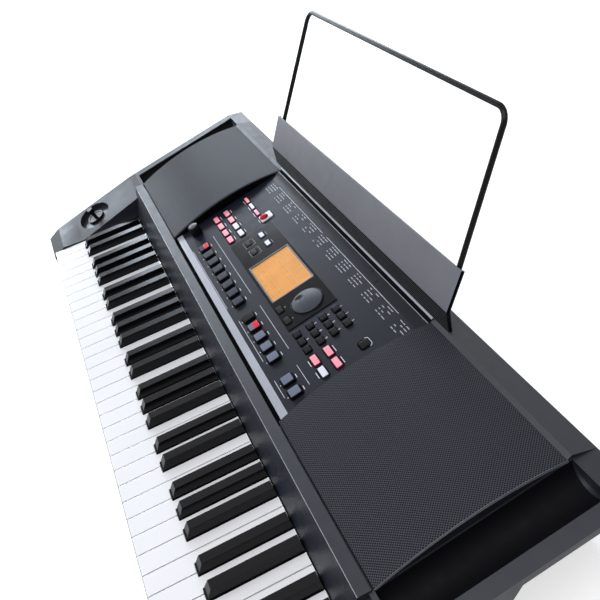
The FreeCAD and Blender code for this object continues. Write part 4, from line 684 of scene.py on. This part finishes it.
def make_print():
    def rules(bm):
        for left, right, y in RULES:
            mark(bm, left, right, y - RULE_HALF, y + RULE_HALF, PRINT_Z)
        draw_ticks(bm, PANEL_TICKS, PRINT_Z)
    make("panel_rules", rules, PANEL_PLACE, [INK], "case")

    def index(bm):
        for column in range(INDEX_COLUMNS):
            left = INDEX_FIRST + column * INDEX_PITCH
            for row, y in enumerate(INDEX_ROWS):
                for place, (start, end) in enumerate(DASH_SHARES):
                    if (column + row + place) % SKIP_EVERY == SKIP_EVERY - 1:
                        continue
                    trim = ((3 * column + 5 * row + 7 * place) % 4) * DASH_TRIM
                    mark(bm, left + INDEX_WIDTH * start, left + INDEX_WIDTH * end - trim, y - DASH_HALF,
                         y + DASH_HALF, PRINT_Z)
    make("panel_index", index, PANEL_PLACE, [INK_FAINT], "case")

    def frames(bm):
        for x in SELECT_X:
            for side in (x - FRAME_HALF, x + FRAME_HALF):
                mark(bm, side - FRAME_LINE, side + FRAME_LINE, FRAME_FRONT, FRAME_REAR, BEZEL_PRINT_Z)
            reach = FRAME_HALF + FRAME_LINE
            for y in (FRAME_FRONT, FRAME_REAR):
                mark(bm, x - reach, x + reach, y - FRAME_LINE, y + FRAME_LINE, BEZEL_PRINT_Z)
        draw_ticks(bm, BEZEL_TICKS, BEZEL_PRINT_Z)
    make("bezel_marks", frames, PANEL_PLACE, [INK_FAINT], "case")


GAP = 1.2
GAP_CORNER = 1.8
GAP_Z = 0.015


def make_gap_shade():
    """Painted shade: a near-black patch in the gap between each button and the edge of its hole."""
    def build(bm):
        for node, ((width, length, _), _, places) in BUTTONS.items():
            z = GAP_Z + (BEZEL_TOP if node in ON_BEZEL else 0)
            for x, y in places:
                patch(bm, rounded(x, y, width + 2 * GAP, length + 2 * GAP, GAP_CORNER, z))
    make("button_gap_shade", build, PANEL_PLACE, [SHADE_BLACK], "case")


LIP_START = 1.4
LIP_LENGTH = 9.0
LIP_CROWN = 0.45
LIP_RISE = 0.06
LIP_SINK = 0.4
LIP_STEPS = 6
GROOVE_LOW = PANEL_Z - 2.4
GROOVE_FLOOR = GROOVE_LOW + 0.5
GROOVE_FRONT = RAIL_BACK + 0.05
GROOVE_TURN = PANEL_FRONT - 0.1
GROOVE_REAR = PANEL_FRONT + LIP_START
GROOVE = [(GROOVE_FRONT, GROOVE_LOW), (GROOVE_REAR, GROOVE_LOW), (GROOVE_REAR, PANEL_Z + 0.35),
          (GROOVE_TURN, PANEL_Z + 0.1), (GROOVE_TURN, GROOVE_FLOOR), (GROOVE_FRONT, GROOVE_FLOOR)]


def make_panel_front():
    """Rounded lip along the panel's front, pale grey as a painted highlight, and the groove between it and
    the rail, near-black as painted shade.
    """
    def lip(bm):
        upper = []
        for step in range(LIP_STEPS + 1):
            share = step / LIP_STEPS
            crown = LIP_CROWN * (1 - (2 * share - 1) ** 2)
            upper.append((LIP_START + LIP_LENGTH * share, LIP_RISE + crown))
        lower = [(LIP_START + LIP_LENGTH, -LIP_SINK), (LIP_START, -LIP_SINK)]
        extruded(bm, upper + lower, -PANEL_HALF, PANEL_HALF)
    make("panel_lip", lip, PANEL_PLACE, [LIP_HIGHLIGHT], "case", smooth=50)

    def groove(bm):
        extruded(bm, GROOVE, -PANEL_HALF, PANEL_HALF)
    make("rail_groove_shade", groove, CASE_PLACE, [SHADE_BLACK], "case")


EDGE_LINE = (RAIL_EDGE + 0.1, RAIL_TOP - 0.25)
EDGE_LINE_RADIUS = 0.35


def make_rail_edge():
    """Fine bright line where the rail's sloping face turns into its top: a painted highlight."""
    line = [(x, *EDGE_LINE) for x in RAIL_ENDS]
    tube("rail_edge_highlight", line, EDGE_LINE_RADIUS, CASE_PLACE, EDGE_HIGHLIGHT, "case")


STRIP_LOW = KEY_TOP + 0.5
STRIP_HIGH = KEY_TOP + 2.6
STRIP_BACK = RAIL_FOOT - 0.1
STRIP = [(STRIP_BACK - 1.2, STRIP_LOW), (STRIP_BACK, STRIP_LOW), (STRIP_BACK, STRIP_HIGH),
         (STRIP_BACK - 0.9, STRIP_HIGH)]


def make_key_shade_strip():
    """Strip of painted shade under the rail's foot, just clear of the keys."""
    def build(bm):
        extruded(bm, STRIP, *RAIL_ENDS)
    make("key_shade_strip", build, CASE_PLACE, [SHADE_BLACK], "case")


# Numerals by column, from the rear row to the front row.
NUMERALS = ["1", "4", "7", None, "2", "5", "8", "0", "3", "6", "9", None]
NUMERAL_SIZE = 4.2
NUMERAL_SHIFT = 5.2


def make_numerals():
    """Numerals 0 to 9 behind the keys of the keypad."""
    places = [(x, y) for x in NUMBER_X for y in reversed(ROW)]

    def build(bm):
        for label, (x, y) in zip(NUMERALS, places):
            if label is None:
                continue
            text = bpy.data.curves.new("numeral", "FONT")
            text.body = label
            text.size = NUMERAL_SIZE
            text.align_x = "CENTER"
            letter = put("numeral", text)
            shape = bpy.data.meshes.new_from_object(letter)
            shape.transform(Matrix.Translation((x, y + NUMERAL_SHIFT, PRINT_Z)))
            bm.from_mesh(shape)
            bpy.data.meshes.remove(shape)
            bpy.data.objects.remove(letter)
            bpy.data.curves.remove(text)
    make("keypad_numerals", build, PANEL_PLACE, [INK], "case")


BEZEL_FRONT = 57.2
BEZEL_LENGTH = 65.3
SCREEN_MIDDLE = -1.0
SCREEN_ROW = BEZEL_FRONT + BEZEL_LENGTH / 2
SCREEN = (81.0, 55.0)
# Growth of the window's frame against the screen, corner and height.
WINDOW_FRAME = ((3.4, 1.4, 1.0), (3.4, 1.4, 1.42), (0, 0.5, 1.32), (0, 0.5, 1.0))
# Fields of the display, counted from its middle.
FIELD_Z = 0.06
FIELD_LINES = (-19.0, -11.0, 3.0, 11.5, 20.0)
FIELD_LINE_HALF = (37.0, 0.25)
FIELD_X = spaced(SCREEN_MIDDLE - 36, 6, 12.4)
FIELD_ROWS = (-24.0, -15.5, 7.0, 15.5, 23.5)
FIELD_ENDS = (-1.0, 0.6)
FIELD_WIDTH = 4.0
FIELD_GROWTH = 1.6
WHEEL_PLACE = (73.8, 94.5)
WHEEL_RING = ((19.2, 1.1), (19.2, 1.5), (19.6, 1.75), (20.4, 1.75), (20.8, 1.5), (20.8, 1.1))
POWER_RING = (13.0, 3.2)
# Growth of the power button's ring against its inside, and height.
POWER_RING_STEPS = ((0, -0.2), (0, 0.35), (0.4, 0.5), (1.0, 0.5), (1.4, 0.2), (1.4, -0.2))
POWER_HIGHLIGHT_REACH = 3.0


def make_display():
    """Faint fields of the display, the frame round the window, and the rings of wheel and power button."""
    def fields(bm):
        half, thin = FIELD_LINE_HALF
        for y in FIELD_LINES:
            row = SCREEN_ROW + y
            mark(bm, SCREEN_MIDDLE - half, SCREEN_MIDDLE + half, row - thin, row + thin, FIELD_Z)
        for place, y in enumerate(FIELD_ROWS):
            front, rear = [SCREEN_ROW + y + end for end in FIELD_ENDS]
            for column, left in enumerate(FIELD_X):
                width = FIELD_WIDTH + ((3 * column + 2 * place) % 4) * FIELD_GROWTH
                mark(bm, left, left + width, front, rear, FIELD_Z)
    make("display_fields", fields, PANEL_PLACE, [AMBER_MARK], "case")

    def surround(bm):
        loops = [rounded(SCREEN_MIDDLE, SCREEN_ROW, *[size + grow for size in SCREEN], corner, z)
                 for grow, corner, z in WINDOW_FRAME]
        sleeve(bm, loops)
    make("window_frame", surround, PANEL_PLACE, [WINDOW_EDGE], "case")

    def wheel_ring(bm):
        sleeve(bm, [circle(*WHEEL_PLACE, radius, z, FINE_STEPS) for radius, z in WHEEL_RING])
    make("wheel_ring", wheel_ring, PANEL_PLACE, [GLOSS], "case")

    def power_ring(bm):
        x, y = POWER_PLACE
        size, corner = POWER_RING
        loops = [rounded(x, y, size + grow, size + grow, corner + grow / 2, z)
                 for grow, z in POWER_RING_STEPS]
        sleeve(bm, loops)
        # Painted shade and highlight: the ring is near-black, and its rear part takes the pale ink as a
        # painted highlight.
        for face in bm.faces:
            face.material_index = 1 if face.calc_center_median().y > y + POWER_HIGHLIGHT_REACH else 0
    make("power_ring", power_ring, PANEL_PLACE, [SHADE_BLACK, INK], "case")


# The rear of the panel, the speaker pods and the music rest, in depth and height.

def panel_height(depth):
    return PANEL_Z + (depth - PANEL_FRONT) * math.tan(PANEL_TILT)


HAIR = 0.05
COVE_START = 342.4
COVE_END = 354.6
COVE_LIFT = 1.7
COVE_STEPS = 10
COVE_FOOT = [(COVE_END, panel_height(COVE_END) - 1.0), (COVE_START, panel_height(COVE_START) - 0.4)]
CHANNEL_THICK = 0.5
CHANNEL = [(COVE_END + 0.7, PANEL_REAR_Z + 0.15),
           (RIDGE_DEPTH - RIDGE_RUN, PANEL_REAR_Z + RIDGE_RISE / 3 + 0.15),
           (RIDGE_DEPTH - 1.0, RIDGE_Z - 0.6)]
# Name, depth, height and radius.
RIDGE_BEADS = (("front", COVE_END + 0.3, panel_height(COVE_END) + COVE_LIFT - 0.3, 0.5),
               ("rear", RIDGE_DEPTH - 1.2, RIDGE_Z - 0.7, 1.5))


def make_cove():
    """Hollow sweep from the panel up to the ridge, ending in two fine beads that are painted highlights, with
    a near-black channel of painted shade between.
    """
    def cove(bm):
        upper = []
        for step in range(COVE_STEPS + 1):
            share = step / COVE_STEPS
            depth = COVE_START + (COVE_END - COVE_START) * share
            upper.append((depth, panel_height(depth) + HAIR + COVE_LIFT * share ** 2))
        extruded(bm, upper + COVE_FOOT, -PANEL_HALF, PANEL_HALF)
    make("panel_cove", cove, CASE_PLACE, [COVE], "case", smooth=50)
    for name, depth, z, radius in RIDGE_BEADS:
        line = [(-PANEL_HALF, depth, z), (PANEL_HALF, depth, z)]
        tube(f"ridge_bead_{name}", line, radius, CASE_PLACE, EDGE_HIGHLIGHT, "case")

    def channel(bm):
        lower = [(depth, z - CHANNEL_THICK) for depth, z in reversed(CHANNEL)]
        extruded(bm, CHANNEL + lower, -PANEL_HALF, PANEL_HALF)
    make("ridge_channel_shade", channel, CASE_PLACE, [SHADE_BLACK], "case")


POD_STEPS = 28


def pod_arc(sink):
    """Points of the pod's crown from front to rear, lowered by sink."""
    length = POD_REAR - POD_FRONT
    rise = CHORD_REAR_Z - RAIL_TOP
    radius = ((length / 2) ** 2 + POD_CROWN ** 2) / (2 * POD_CROWN)
    points = []
    for step in range(POD_STEPS + 1):
        share = step / POD_STEPS
        offset = (share - 0.5) * length
        crown = math.sqrt(radius * radius - offset * offset) - (radius - POD_CROWN)
        points.append((POD_FRONT + length * share, RAIL_TOP + rise * share + crown - sink))
    return points


# Name, X, depth under the crown, radius and material.
POD_BEADS = (("outer", POD_OUTER + 0.1, 0.9, 0.45, POD_EDGE_HIGHLIGHT), ("lower", POD_OUTER + 0.2, 2.9, 0.5, POD_EDGE_HIGHLIGHT),
             ("inner", POD_INNER - 0.1, 1.6, 0.6, CASE))
WALL_SINK = 1.9
WALL_LEAST = 0.2
WALL_FACES = (POD_INNER - 0.1, POD_INNER - 0.35)


def make_pod_edge_beads():
    """Fine beads along the outer and inner edge of each grille; the two outer ones are lighter grey as
    painted highlights.
    """
    for side, name in BOTH_SIDES:
        for edge, x, sink, radius, material in POD_BEADS:
            line = [(side * x, depth, z) for depth, z in pod_arc(sink)]
            tube(f"{name}_grille_bead_{edge}", line, radius, CASE_PLACE, material, "case")


def make_pod_wall_shade():
    """Sheet of painted shade on each pod's upright wall beside the panel."""
    upper = [(depth, max(z, panel_height(depth) + WALL_LEAST)) for depth, z in pod_arc(WALL_SINK)]
    lower = [(depth, panel_height(depth) + HAIR) for depth, _ in reversed(upper)]
    for side, name in BOTH_SIDES:
        def build(bm):
            extruded(bm, upper + lower, *[side * x for x in WALL_FACES])
        make(f"{name}_pod_wall", build, CASE_PLACE, [SHADE_BLACK], "case")


SHADE_SHEET_LIFT = 0.15
SHADE_SHEET_THICK = 0.25
SHADE_SHEET_TOP = 1.2
SHADE_SHEET_STEPS = 24
SHADE_SHEET_ENDS = (POD_FRONT + 0.4, RIDGE_DEPTH - 0.6)


def make_valley_shade():
    """Sheet of painted shade in the hollow beside each speaker pod."""
    half = (CASE_HALF - RIM_WIDTH - POD_OUTER) / 2
    middle = POD_OUTER + half
    radius = ((half - FIT_GAP) ** 2 + VALLEY_DEPTH ** 2) / (2 * VALLEY_DEPTH) - SHADE_SHEET_LIFT
    spread = math.acos(1 - (VALLEY_DEPTH - SHADE_SHEET_TOP) / radius)

    def ring(side, depth):
        rim = RAIL_TOP - RIM_DROP + RIM_SLOPE * (depth - RAIL_EDGE)
        heart = rim + radius - VALLEY_DEPTH + SHADE_SHEET_LIFT
        points = []
        for reach, order in ((radius, 1), (radius - SHADE_SHEET_THICK, -1)):
            for step in range(SHADE_SHEET_STEPS + 1):
                angle = spread * (2 * step / SHADE_SHEET_STEPS - 1) * order
                points.append((side * (middle + reach * math.sin(angle)), depth,
                               heart - reach * math.cos(angle)))
        return points

    for side, name in BOTH_SIDES:
        def build(bm):
            skin(bm, [ring(side, depth) for depth in SHADE_SHEET_ENDS])
        make(f"{name}_valley_shade", build, CASE_PLACE, [VALLEY_SHADE], "case")


REST_FRONT = 362.6
REST_THICK = 4.5
REST_LOW = PANEL_REAR_Z - 10
REST_TOP = 157.0
REST_HALF = 232.0
REST_EDGE = 0.6
REST_LEAN = math.radians(27)
RIB_PITCH = 3.1
RIB_DEPTH = 0.9
RIB_SHARES = (0.25, 0.65, 0.85)
PLATE_LENGTH = 45.0
PLATE_THICK = 2.5
PLATE_CORNER = 0.8
FOLD_DEPTH = 4.2
WIRE_FOOT = (224.0, 5.6)
FERRULE = ((3.4, PLATE_THICK), (3.4, PLATE_THICK + 14.0))
TOUCHING = 0.01


def make_rest_base():
    """Base strip of the music rest with fine ribs along its front and back; the ribs' flat faces are lighter
    grey as a painted highlight, the rest near-black.
    """
    groove = REST_FRONT + RIB_DEPTH
    start, end, foot = [share * RIB_PITCH for share in RIB_SHARES]
    front = []
    z = REST_LOW
    while z + RIB_PITCH < REST_TOP:
        front += [(groove, z), (REST_FRONT, z + start), (REST_FRONT, z + end), (groove, z + foot)]
        z += RIB_PITCH
    front += [(REST_FRONT, REST_TOP - REST_EDGE), (REST_FRONT + REST_EDGE, REST_TOP)]
    rear = REST_FRONT + REST_THICK
    back = [(rear - (y - REST_FRONT), z) for y, z in reversed(front)]

    def on_face(face):
        """Whether a face lies in the strip's front or back plane."""
        depths = [vert.co.y for vert in face.verts]
        return any(max(abs(depth - plane) for depth in depths) < TOUCHING for plane in (REST_FRONT, rear))

    def build(bm):
        extruded(bm, front + back, -REST_HALF, REST_HALF)
        for face in bm.faces:
            face.material_index = 1 if on_face(face) else 0
    make("rest_base_ribbed", build, CASE_PLACE, [REST_DARK, REST_RIB_HIGHLIGHT], "music_rest", "rest_base", smooth=20)


def make_rest_plate():
    """Leaning plate with narrow folded ends, black there, and a ferrule behind for each wire foot."""
    place = (CASE_PLACE @ Matrix.Translation((0, REST_FRONT, REST_TOP + PLATE_THICK * math.sin(REST_LEAN)))
             @ Matrix.Rotation(-REST_LEAN, 4, "X"))

    def sheet(bm, front, back, left, right):
        outline = rounded((front + back) / 2, PLATE_LENGTH / 2, back - front, PLATE_LENGTH, PLATE_CORNER, 0)
        extruded(bm, [point[:2] for point in outline], left, right)

    def build(bm):
        sheet(bm, 0, PLATE_THICK, -REST_HALF, REST_HALF)
        for side, _ in BOTH_SIDES:
            sheet(bm, PLATE_THICK / 3, FOLD_DEPTH, side * REST_HALF, side * (REST_HALF - PLATE_THICK))
        for face in bm.faces:
            if abs(face.calc_center_median().x) > REST_HALF - PLATE_THICK / 10:
                face.material_index = 1
        for side, _ in BOTH_SIDES:
            turned(bm, side * WIRE_FOOT[0], WIRE_FOOT[1], FERRULE, 1, SMALL_STEPS)
    make("rest_plate_folded", build, place, [REST_GREY, REST_DARK], "music_rest", "rest_plate")


STICK_PLACE = (-432.5, 87.5, 62.0)
STICK_TILT = math.radians(16)
SEAT_OUTLINE = ((7.2, -2.6), (7.6, -2.2), (9.2, -0.9), (10.8, 1.2), (11.7, 2.6), (11.7, -2.6), (7.2, -2.6))


def make_stick_seat():
    """Bowl inside the joystick's collar, open in the middle for the stick, pale grey as a painted highlight.
    """
    place = CASE_PLACE @ Matrix.Translation(STICK_PLACE) @ Matrix.Rotation(STICK_TILT, 4, "X")

    def build(bm):
        sleeve(bm, [circle(0, 0, radius, z) for radius, z in SEAT_OUTLINE])
    make("joystick_seat", build, place, [SEAT_HIGHLIGHT], "case")


# The hidden rear and underside.

JACK_X = spaced(84, 4, 32)
JACK_HEIGHT = 45
NUT_SIDES = 6
BUSH_STEPS = 32
NUT = ((7.6, CASE_DEPTH - 0.8), (7.6, CASE_DEPTH - 0.3), (7.1, CASE_DEPTH))
BUSH = ((5.4, CASE_DEPTH - 0.4), (5.4, CASE_DEPTH), (3.3, CASE_DEPTH), (3.3, CASE_DEPTH - 20))


def make_rear_fittings():
    """Hexagon nuts and steel bushes of the jacks."""
    rearward = CASE_PLACE @ Matrix.Rotation(math.radians(-90), 4, "X")

    def nuts(bm):
        for x in JACK_X:
            sleeve(bm, [circle(x, -JACK_HEIGHT, radius, z, NUT_SIDES) for radius, z in NUT])
            turned(bm, x, -JACK_HEIGHT, BUSH, count=BUSH_STEPS)
    make("jack_nuts", nuts, rearward, [STEEL], "case")


SCREW_PLACES = [(-440, 24), (-415, 228), (415, 228), (-400, CASE_DEPTH - 14), (400, CASE_DEPTH - 14)]
SCREW = ((1.5, 40), (1.5, 7.3), (3.0, 7.2), (3.0, 6.0), (2.4, 5.3), (1.2, 5.05), (0.2, 5.0))
RECESS = (1.7, 0.3)
RECESS_Z = 4.99


def make_screws():
    """Pan heads under the case, their crossed recesses drawn as flat near-black marks of painted shade."""
    def build(bm):
        for x, y in SCREW_PLACES:
            turned(bm, x, y, SCREW, count=SMALL_STEPS)
            for half_x, half_y in (RECESS[::-1], RECESS):
                mark(bm, x - half_x, x + half_x, y - half_y, y + half_y, RECESS_Z, 1)
    make("case_screw_heads", build, CASE_PLACE, [STEEL, SHADE_BLACK], "case", "case_screws")


GRIP_START = 22
GRIP_ROWS = 6
GRIP_PITCH = 4.0
GRIP_HALF = 17
# Section of a rib, counted from its middle and from the cover's underside.
GRIP_RIB = ((-0.9, 0.1), (-0.5, -0.5), (0.5, -0.5), (0.9, 0.1))


def make_cover_grip():
    """Ribs for the thumb on the battery cover."""
    low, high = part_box("battery_cover")
    middle = (low.x + high.x) / 2 / MM
    front = low.y / MM - CASE_FRONT + GRIP_START

    def build(bm):
        for y in spaced(front, GRIP_ROWS, GRIP_PITCH):
            profile = [(y + depth, low.z / MM + z) for depth, z in GRIP_RIB]
            extruded(bm, profile, middle - GRIP_HALF, middle + GRIP_HALF)
    make("battery_cover_grip", build, CASE_PLACE, [BASE], "battery_cover")


# Stage: floor, light and camera, in metres.

def seen_directly(tree):
    """One for rays from the camera, from mirrors and through glass, else zero."""
    path = tree.nodes.new("ShaderNodeLightPath")
    value = path.outputs["Is Camera Ray"]
    for name in ("Is Glossy Ray", "Is Transmission Ray"):
        either = tree.nodes.new("ShaderNodeMath")
        either.operation = "MAXIMUM"
        tree.links.new(value, either.inputs[0])
        tree.links.new(path.outputs[name], either.inputs[1])
        value = either.outputs["Value"]
    return value


def eased(tree, value, start, end, low, high):
    """Carries a value smoothly from one range into another."""
    node = tree.nodes.new("ShaderNodeMapRange")
    node.interpolation_type = "SMOOTHSTEP"
    for name, number in (("From Min", start), ("From Max", end), ("To Min", low), ("To Max", high)):
        node.inputs[name].default_value = number
    tree.links.new(value, node.inputs["Value"])
    return node.outputs["Result"]


FLOOR_REACH = 30
FLOOR_GREY = (0.6, 0.6, 0.6, 1)
FLOOR_ROUGHNESS = 0.9
# Distances between which the floor's own light rises, and that light.
FLOOR_GLOW = (1.0, 4.0, 0.65, 1.0)


def make_stage():
    """White floor that keeps the shadow and fades into the surroundings far out."""
    floor_mesh = bpy.data.meshes.new("floor")
    corners = [(side_x * FLOOR_REACH, side_y * FLOOR_REACH, 0)
               for side_x, side_y in ((-1, -1), (1, -1), (1, 1), (-1, 1))]
    floor_mesh.from_pydata(corners, [], [(0, 1, 2, 3)])
    floor = put("floor", floor_mesh)
    material = bpy.data.materials.new("floor_white")
    material.use_nodes = True
    tree = material.node_tree
    shader = tree.nodes["Principled BSDF"]
    shader.inputs["Base Color"].default_value = FLOOR_GREY
    shader.inputs["Roughness"].default_value = FLOOR_ROUGHNESS
    shader.inputs["Emission Color"].default_value = (1, 1, 1, 1)
    reach = tree.nodes.new("ShaderNodeVectorMath")
    reach.operation = "LENGTH"
    tree.links.new(tree.nodes.new("ShaderNodeTexCoord").outputs["Object"], reach.inputs[0])
    glow = tree.nodes.new("ShaderNodeMath")
    glow.operation = "MULTIPLY"
    tree.links.new(seen_directly(tree), glow.inputs[0])
    tree.links.new(eased(tree, reach.outputs["Value"], *FLOOR_GLOW), glow.inputs[1])
    tree.links.new(glow.outputs["Value"], shader.inputs["Emission Strength"])
    floor_mesh.materials.append(material)


# Directions along X between which the world's light falls, and that light.
WORLD_LIGHT = (-0.5, 0.7, 0.42, 0.03)


def make_world():
    """White surroundings that light the object more from the left than from the right."""
    world = bpy.data.worlds.new("studio")
    bpy.context.scene.world = world
    world.use_nodes = True
    tree = world.node_tree
    tree.nodes.clear()
    coords = tree.nodes.new("ShaderNodeTexCoord")
    split = tree.nodes.new("ShaderNodeSeparateXYZ")
    tree.links.new(coords.outputs["Generated"], split.inputs["Vector"])
    light = tree.nodes.new("ShaderNodeBackground")
    tree.links.new(eased(tree, split.outputs["X"], *WORLD_LIGHT), light.inputs["Strength"])
    white = tree.nodes.new("ShaderNodeBackground")
    for background in (light, white):
        background.inputs["Color"].default_value = (1, 1, 1, 1)
    mix = tree.nodes.new("ShaderNodeMixShader")
    out = tree.nodes.new("ShaderNodeOutputWorld")
    tree.links.new(seen_directly(tree), mix.inputs["Fac"])
    tree.links.new(light.outputs["Background"], mix.inputs[1])
    tree.links.new(white.outputs["Background"], mix.inputs[2])
    tree.links.new(mix.outputs["Shader"], out.inputs["Surface"])


COOL = (0.8, 0.89, 1.0)
MILD = (0.9, 0.94, 1.0)
WHITE = (1.0, 1.0, 1.0)
# Name, place, target, size, power in watts and colour.
LAMPS = (("key_light", (-2.45, 0.6, 1.22), (-0.1, 0, 0.08), (1.5, 0.7), 40, COOL),
         ("front_light", (-0.45, -1.7, 1.5), (-0.2, -0.12, 0.06), (0.9, 0.8), 12, MILD),
         ("low_light", (-1.9, -0.6, 0.66), (-0.43, -0.14, 0.07), (0.5, 0.4), 11, COOL),
         ("top_light", (0.75, -0.6, 2.1), (0.3, -0.1, 0.05), (1.8, 1.4), 35, WHITE))


def make_lamps():
    for name, place, target, size, power, colour in LAMPS:
        lamp = bpy.data.lights.new(name, "AREA")
        lamp.color = colour
        lamp.shape = "RECTANGLE"
        lamp.size, lamp.size_y = size
        lamp.energy = power
        holder = put(name, lamp)
        holder.location = place
        holder.rotation_euler = (Vector(target) - Vector(place)).to_track_quat("-Z", "Y").to_euler()


IMAGE_SIZE = 600
FOCAL_PIXELS = 709.73
IMAGE_MIDDLE = (290.73, 317.15)
SENSOR_MM = 36
CLIP_START = 0.01
CAMERA_PLACE = (0.69248, -0.1055, 0.60883)
CAMERA_RIGHT = (0.37457, 0.89799, -0.23090)
CAMERA_DOWN = (0.52424, -0.41052, -0.74609)
CAMERA_FORWARD = (-0.76476, 0.15842, -0.62453)


def make_camera():
    data = bpy.data.cameras.new("camera")
    data.sensor_fit = "HORIZONTAL"
    data.sensor_width = SENSOR_MM
    data.lens = FOCAL_PIXELS / IMAGE_SIZE * SENSOR_MM
    data.shift_x = (IMAGE_SIZE / 2 - IMAGE_MIDDLE[0]) / IMAGE_SIZE
    data.shift_y = (IMAGE_MIDDLE[1] - IMAGE_SIZE / 2) / IMAGE_SIZE
    data.clip_start = CLIP_START
    camera = put("camera", data)
    axes = Matrix((CAMERA_RIGHT, -Vector(CAMERA_DOWN), -Vector(CAMERA_FORWARD))).transposed()
    camera.matrix_world = Matrix.Translation(CAMERA_PLACE) @ axes.to_4x4()
    bpy.context.scene.camera = camera


dress_solids()
make_buttons()
make_knob()
make_print()
make_gap_shade()
make_panel_front()
make_rail_edge()
make_key_shade_strip()
make_numerals()
make_display()
make_cove()
make_pod_edge_beads()
make_pod_wall_shade()
make_valley_shade()
make_rest_base()
make_rest_plate()
make_stick_seat()
make_rear_fittings()
make_screws()
make_cover_grip()
make_stage()
make_world()
make_lamps()
make_camera()
bpy.context.scene.view_settings.view_transform = "Standard"
